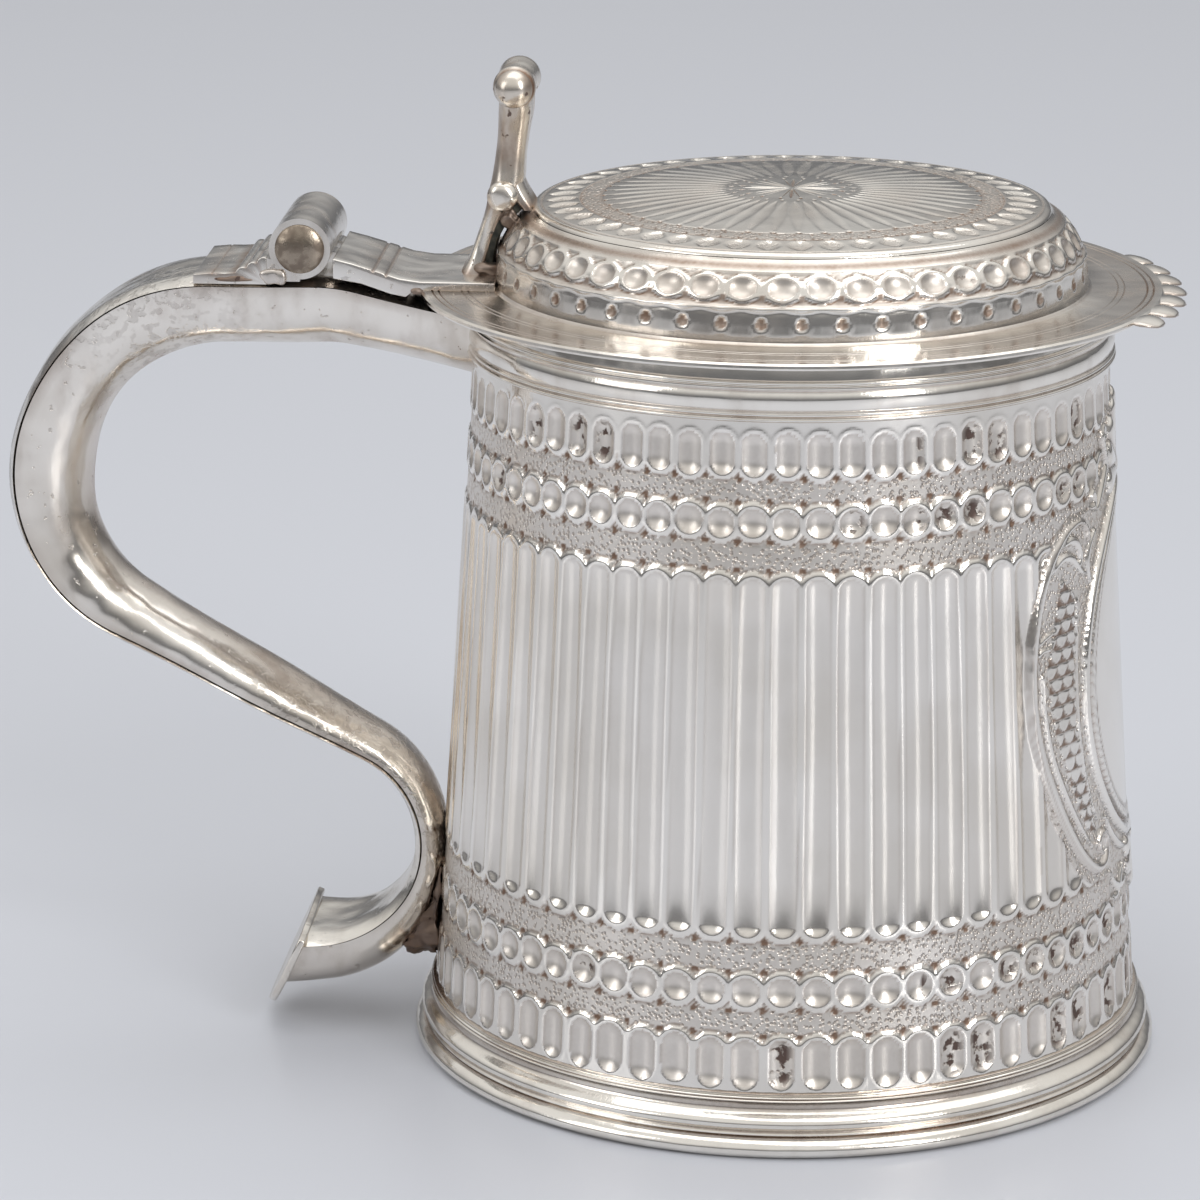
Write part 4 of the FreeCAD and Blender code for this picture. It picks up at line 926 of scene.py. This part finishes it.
def spool(name, x, z, profile, stain):
    """A roll across the thumbpiece from its half profile: how far along it, and its radius."""
    half = np.array(profile)
    points = np.concatenate([half[::-1] * (-1, 1), half[1:] if half[0, 0] == 0 else half])

    def place(turn, index):
        along, radius = points[index, 0], points[index, 1]
        finish = np.zeros((len(turn), 4))
        finish[:, 0] = stain(np.abs(along), radius)
        angle = np.radians(turn)
        return x + radius * np.cos(angle), along, z + radius * np.sin(angle), finish

    return formed_sheet(name, even(0, 360, 7.5), np.arange(len(points)), place, closed=True,
                        crisp=40)


thumb_silver = silver("thumb_silver", "#efeae2", "#cfc4b6", 0.23, 0.9, stain=0.7, pitting=0.9)
stem = stacked("thumb_stem", [
    (134.6, -53.9, 2.3, 5.4), (135.6, -53.7, 2.1, 5.0), (137.4, -53.0, 1.75, 4.4),
    (140.4, -52.0, 1.6, 4.0), (143.4, -50.9, 1.65, 4.0), (146.2, -49.7, 2.0, 4.4),
    (148.8, -48.6, 2.7, 5.2), (151.2, -47.9, 2.8, 4.8), (154.5, -47.6, 2.55, 4.4),
    (157.6, -47.2, 2.55, 4.4), (160.2, -46.9, 2.7, 5.0), (162.4, -46.6, 2.9, 5.8),
    (164.3, -46.5, 2.9, 6.4), (166.4, -46.5, 2.7, 6.6)],
    # Brown painted shade down the stem's left side, strongest at its middle, and darker where it
    # meets the lower roll and the leaf.
    stain=lambda cosine, z: 0.9 * np.clip(-cosine, 0, 1) ** 2 * bell(z - 153, 10)
    + 0.6 * bell(z - 147.5, 2.0) + 0.7 * bell(z - 135, 1.6))
dress(stem, thumb_silver, "cover", "thumbpiece")
front_leg = stacked("thumb_front_leg", [
    (146.2, -44.3, 1.3, 4.6), (147.2, -44.9, 1.5, 4.6), (148.4, -45.9, 1.8, 4.5),
    (149.6, -46.8, 2.0, 4.5), (151.4, -47.5, 2.0, 4.5)],
    stain=lambda cosine, z: 0.8 * bell(z - 146.8, 1.4))
dress(front_leg, thumb_silver, "cover")
head = spool("thumb_head", -46.5, 167.3, [
    (0, 3.1), (2.4, 3.2), (4.6, 3.5), (5.5, 3.6), (6.2, 3.35), (6.5, 2.95), (6.75, 3.15),
    (7.3, 3.2), (8.1, 2.85), (8.8, 2.2), (9.3, 1.3), (9.5, 0)],
    stain=lambda along, radius: 0.9 * bell(along - 6.5, 0.35) + 0.6 * bell(along - 3.4, 0.6))
dress(head, thumb_silver, "cover")
lower_roll = spool("thumb_lower_roll", -48.6, 148.8, [
    (0, 2.4), (4, 2.4), (5.4, 2.6), (6.2, 2.55), (6.8, 2.1), (7.2, 1.4), (7.35, 0)],
    stain=lambda along, radius: 0.6 * bell(along - 5.0, 0.6))
dress(lower_roll, thumb_silver, "cover")

# A black sheet fills the hollow between the two legs: painted shade, mottled greenish.
shade_sheet = slab("thumb_gap_shade", [
    (-50.2, 146.5), (-51.4, 143.0), (-52.6, 139.0), (-53.4, 135.0), (-50.6, 135.0), (-50.3, 138.0),
    (-49.6, 141.0), (-48.4, 143.2), (-46.6, 145.2), (-44.6, 147.0), (-46.8, 149.6)], 3.7, 0.3)
# Painted shade: near black, mottled with a dull green-grey, with a low bump.
hollow_shade_paint, tree = blank_material("shade_paint_under_thumb")
place = node(tree, "TexCoord")["Object"]
shade_mottle = node(tree, "TexNoise", {"Vector": place, "Scale": 1000 / 1.4, "Detail": 5})[0]
greener = node(tree, "MapRange", {"Value": shade_mottle, "From Min": 0.35, "From Max": 0.7},
               interpolation_type="SMOOTHSTEP")[0]
colour = node(tree, "Mix", {0: greener, 6: srgb("#1d211d"), 7: srgb("#4b4a40")},
              data_type="RGBA")[2]
relief = node(tree, "Bump", {"Height": shade_mottle, "Strength": 1.0, "Distance": 0.0004})[0]
shader = node(tree, "BsdfPrincipled", {"Base Color": colour, "Roughness": 0.55,
                                       "Normal": relief})
node(tree, "OutputMaterial", {"Surface": shader[0]})
dress(shade_sheet, hollow_shade_paint, "cover", slot="solder")
blob("solder_under_thumb_1", (-50.9, -4.0, 135.9), (2.6, 1.9, 1.4), solder, "cover", 5)
blob("solder_under_thumb_2", (-50.6, 4.2, 135.8), (2.3, 1.7, 1.3), solder, "cover", 6)
blob("solder_under_thumb_3", (-47.5, -3.6, 144.6), (1.6, 1.2, 1.7), solder, "cover", 7)
blob("solder_by_leaf", (-62.6, -11.4, 133.9), (1.5, 0.9, 0.7), solder, "cover", 8)

# ---------------------------------------------------------------- handle
# A hollow scroll of two strips of sheet: a flat strap along its back, and a rounded belly inside,
# soldered edge to edge.  It rises from the barrel, runs level under the hinge, and falls in one
# long curve to where it touches the barrel again, with its tail turned out.

PIN_X = sum(corner[0] for corner in box_mm("hinge_pin")) / 2
STRAP = 1.4
ROOT_X = -47.6              # inside the barrel's wall
TOUCHES_AT = 34.0           # height at which the lower curve meets the barrel
KNEE = 16.6                 # radius of the lower curve
TAIL = 14                   # straight length at the end
STEP = 1.0                  # between the rows of the mesh


def handle_legs():
    """Where the handle starts, and its stretches: length, turn, width and depth at the end."""
    slope, crook, shoulder, heel = math.radians(14), 30, 36.2, 31.3
    flat_start, outermost = PIN_X + 2.3, PIN_X - 51.1
    rise_x = flat_start + crook * math.sin(slope)
    rise_z = HANDLE_TOP - crook * (1 - math.cos(slope))
    root = (ROOT_X - rise_x) / math.cos(slope)
    over = -cone_radius(TOUCHES_AT) - 4.6 - KNEE - outermost - heel
    down = TOUCHES_AT - HANDLE_TOP + shoulder
    between = math.hypot(over, down)
    quarter = math.pi / 2
    bend = quarter + math.atan2(down, over) + math.asin((heel + KNEE) / between)
    legs = [
        (root, 0, 22, 11.8), (crook * slope, slope, 24, 13),
        (flat_start - outermost - shoulder, 0, 24, 13),
        (shoulder * quarter, quarter, 22, 13.4), (heel * bend, bend, 20, 9.2),
        (math.sqrt(between ** 2 - (heel + KNEE) ** 2), 0, 18, 5.2), (KNEE * bend, -bend, 17, 4.6),
        (KNEE * quarter * 0.45, -quarter * 0.45, 17.4, 7),
        (KNEE * quarter * 0.55, -quarter * 0.55, 27, 11), (TAIL, 0, 27, 11)]
    return (ROOT_X, rise_z - root * math.sin(slope), math.pi - slope), legs


def handle_rows():
    """A row for each step along the handle: x, z, heading, width, depth."""
    (x, z, heading), legs = handle_legs()
    width, depth = 22, 11.8
    rows = []
    for length, turn, next_width, next_depth in legs:
        count = max(1, round(length / STEP))
        for number in range(count + 1):
            share = number / count
            chord = length * share * np.sinc(turn * share / 2 / math.pi)
            aim = heading + turn * share / 2
            row = (x + chord * math.cos(aim), z + chord * math.sin(aim), heading + turn * share,
                   width + share * (next_width - width), depth + share * (next_depth - depth))
            if number < count:
                rows.append(row)
        x, z, heading, width, depth = row
    rows.append(row)
    table = np.array(rows)
    padded = np.pad(table[:, 3:], ((9, 9), (0, 0)), mode="edge")
    for column in (0, 1):
        table[:, 3 + column] = np.convolve(padded[:, column], np.ones(19) / 19, mode="valid")
    return table


rows = handle_rows()
PLATE_LEAN = math.radians(25)
plate_top_x, plate_top_z = rows[-1, 0] + TAIL * 0.85, TOUCHES_AT - KNEE + 0.5


def along_handle(name, around, section, stain, dents):
    """A strip along the handle.  section gives, for each place around it and each row, how far
    across and how far inward it lies."""

    def place(turn, index):
        x, z, heading, width, depth = rows[index].T
        across, inward = section(turn, width, depth)
        run = index * STEP
        wave = np.sin(run * 0.11 + across * 0.16) + np.sin(run * 0.19 - across * 0.23 + 2)
        inward = inward + dents * wave * 0.5
        across = across + dents * 0.7 * np.sin(run * 0.07 + 1.3)
        x = x - inward * np.sin(heading)
        z = z + inward * np.cos(heading)
        # What would pass the barrel's wall is pressed flat inside it, and what would pass the
        # leaning plate at the tail is pressed flat against that.
        wall_x = -np.sqrt(np.maximum((cone_radius(z) - 0.3) ** 2 - across ** 2, 1))
        x = np.where(x > wall_x, wall_x + 0.08 * (x - wall_x), x)
        past = (-(x - plate_top_x) * math.cos(PLATE_LEAN)
                + (z - plate_top_z) * math.sin(PLATE_LEAN)) * (z < 30)
        x = x + 0.92 * np.maximum(past, 0) / math.cos(PLATE_LEAN)
        finish = np.zeros((len(turn), 4))
        finish[:, 0] = stain(run, across, inward)
        finish[:, 3] = 0.22 * bell(run - 62, 16) * (across < 0) + 0.2 * bell(run - 190, 20)
        return x, across, z, finish

    return formed_sheet(name, around, np.arange(len(rows)), place, closed=True, crisp=55)


def strap_section(turn, width, depth):
    """Flat with soft edges: 0 to 10 over the outer face, and round to 20 over the inner one."""
    half = width / 2 - 0.55
    face = np.where(turn < 10, 1 - turn / 5, turn / 5 - 3)
    corner = np.clip(np.abs(face) * 1.14 - 0.14, 0, 1) ** 12
    across = half * face + 0.55 * np.sign(face) * corner
    shift = np.where(turn < 10, 0.0, STRAP)
    round_off = 0.5 * corner * np.where(turn < 10, 1, -1)
    crown = np.where(turn < 10, -0.25 * (1 - face ** 2), 0.0)
    return across, shift + round_off + crown


def belly_section(turn, width, depth):
    """Rounded to 180, where the middle stands inward, and flat against the strap from there."""
    half = width / 2 - 0.7
    outside = turn <= 180
    angle = np.radians(turn)
    deep = (depth - STRAP) * np.abs(np.sin(angle)) ** 0.8
    inward = np.where(outside, STRAP - 0.2 + 0.2 * np.sin(angle) + deep, STRAP - 0.2)
    return -half * np.cos(angle), inward


def strap_stain(run, across, inward):
    return 0.45 * (inward > 1.0) + 0.6 * bell(run - 34, 10) * (np.abs(across) > 8)


def belly_stain_and_shade(run, across, inward):
    # A dark line along the seam with the strap, brown painted shade down the middle of the belly,
    # and darker towards the tail.
    inner = np.exp(-(across / 4.5) ** 2) * (inward > 3)
    return 0.5 * bell(inward - 1.5, 0.3) + 0.4 * inner + 0.45 * bell(run - 262, 22)


handle_silver = silver("handle_silver", "#f4f0e9", "#e2dbd1", 0.15, 0.5, stain=0.2, pitting=0.25)
belly_silver = silver("belly_silver", "#f3eee7", "#ddd5ca", 0.16, 0.5, stain=0.25, pitting=0.3)
strap = along_handle("handle_strap", np.append(even(0, 20, 1), 0), strap_section, strap_stain, 0.22)
dress(strap, handle_silver, "vessel", "handle_back_strap")
belly = along_handle("handle_inner_half", np.concatenate([even(0, 180, 6), even(210, 360, 30)]),
                     belly_section, belly_stain_and_shade, 0.2)
dress(belly, belly_silver, "vessel", "handle_belly")

# A shield-shaped plate closes the tail, and a pad of solder fills the joint behind it.
end_plate = eased("tail_plate", "handle_end_plate", 0.35)
dress(end_plate, handle_silver, "vessel", "handle_end_plate")
pad = eased("joint_pad", "lower_joint_pad", 0.01)
bpy.context.view_layer.objects.active = pad
pad.select_set(True)
rebuilt = pad.modifiers.new("rebuilt", "REMESH")
rebuilt.mode = "VOXEL"
rebuilt.voxel_size = 0.00045
bpy.ops.object.modifier_apply(modifier=rebuilt.name)
if "finish" not in pad.data.attributes:
    pad.data.attributes.new("finish", "FLOAT_COLOR", "POINT")
evenly_marked(pad, 0.4)
lumps = bpy.data.textures.new("solder_lumps", "CLOUDS")
lumps.noise_scale = 0.004
run_metal = pad.modifiers.new("run_metal", "DISPLACE")
run_metal.texture = lumps
run_metal.texture_coords = "LOCAL"
run_metal.strength = 0.003
run_metal.mid_level = 0.55
bpy.ops.object.modifier_apply(modifier=run_metal.name)
bpy.ops.object.shade_smooth()
bpy.ops.object.select_all(action="DESELECT")
dress(pad, solder, "vessel", "lower_joint_pad", slot="solder")

# ---------------------------------------------------------------- studio
# A pale paper floor that runs far back, under one large overhead lamp and two soft windows, with
# a sky that is grey low down, for the metal to mirror.  The camera looks down a little, from the
# vessel's right with the handle to its left.

bpy.ops.mesh.primitive_plane_add(size=24, location=(0, 0.9, 0))
floor = bpy.context.object
floor.name = "studio_floor"
paper = bpy.data.materials.new("pale_paper")
paper.use_nodes = True
shader = paper.node_tree.nodes["Principled BSDF"]
shader.inputs["Base Color"].default_value = srgb("#cbced6")
shader.inputs["Roughness"].default_value = 0.32
floor.data.materials.append(paper)

world = bpy.data.worlds.new("studio")
world.use_nodes = True
bpy.context.scene.world = world
tree = world.node_tree
tree.nodes.clear()
heading = node(tree, "TexCoord")["Generated"]
upward = node(tree, "SeparateXYZ", {"Vector": heading})[2]
height = node(tree, "MapRange", {"Value": upward, "From Min": 0.0, "From Max": 0.6},
              interpolation_type="SMOOTHSTEP")[0]
sky = node(tree, "Mix", {0: height, 6: srgb("#737477"), 7: srgb("#fcfbf9")}, data_type="RGBA")[2]
background = node(tree, "Background", {"Color": sky, "Strength": 0.8})
node(tree, "OutputWorld", {"Surface": background[0]})


def soft_light(name, place, aim, width, height, power):
    """A large soft lamp pointed at a place."""
    bpy.ops.object.light_add(type="AREA", location=place)
    lamp = bpy.context.object
    lamp.name = name
    lamp.data.shape = "RECTANGLE"
    lamp.data.size = width
    lamp.data.size_y = height
    lamp.data.energy = power
    direction = np.array(aim) - np.array(place)
    flat = math.hypot(direction[0], direction[1])
    lamp.rotation_euler = (math.atan2(flat, -direction[2]), 0,
                           math.atan2(direction[1], direction[0]) - math.pi / 2)


soft_light("overhead", (0.1, 0.2, 1.9), (0, 0, 0.1), 2.0, 2.0, 12)
soft_light("right_window", (1.5, -1.7, 1.3), (0, 0, 0.08), 0.7, 1.5, 20)
soft_light("left_window", (-1.9, -1.2, 1.2), (0, 0, 0.08), 1.1, 1.5, 8.5)

bpy.ops.object.camera_add(location=(0.02385, -0.80600, 0.30586),
                          rotation=(math.radians(74.18), 0, math.radians(4)))
camera = bpy.context.object
camera.name = "studio_camera"
camera.data.lens = 145.4
camera.data.sensor_width = 36
bpy.context.scene.camera = camera
bpy.context.scene.view_settings.view_transform = "Standard"
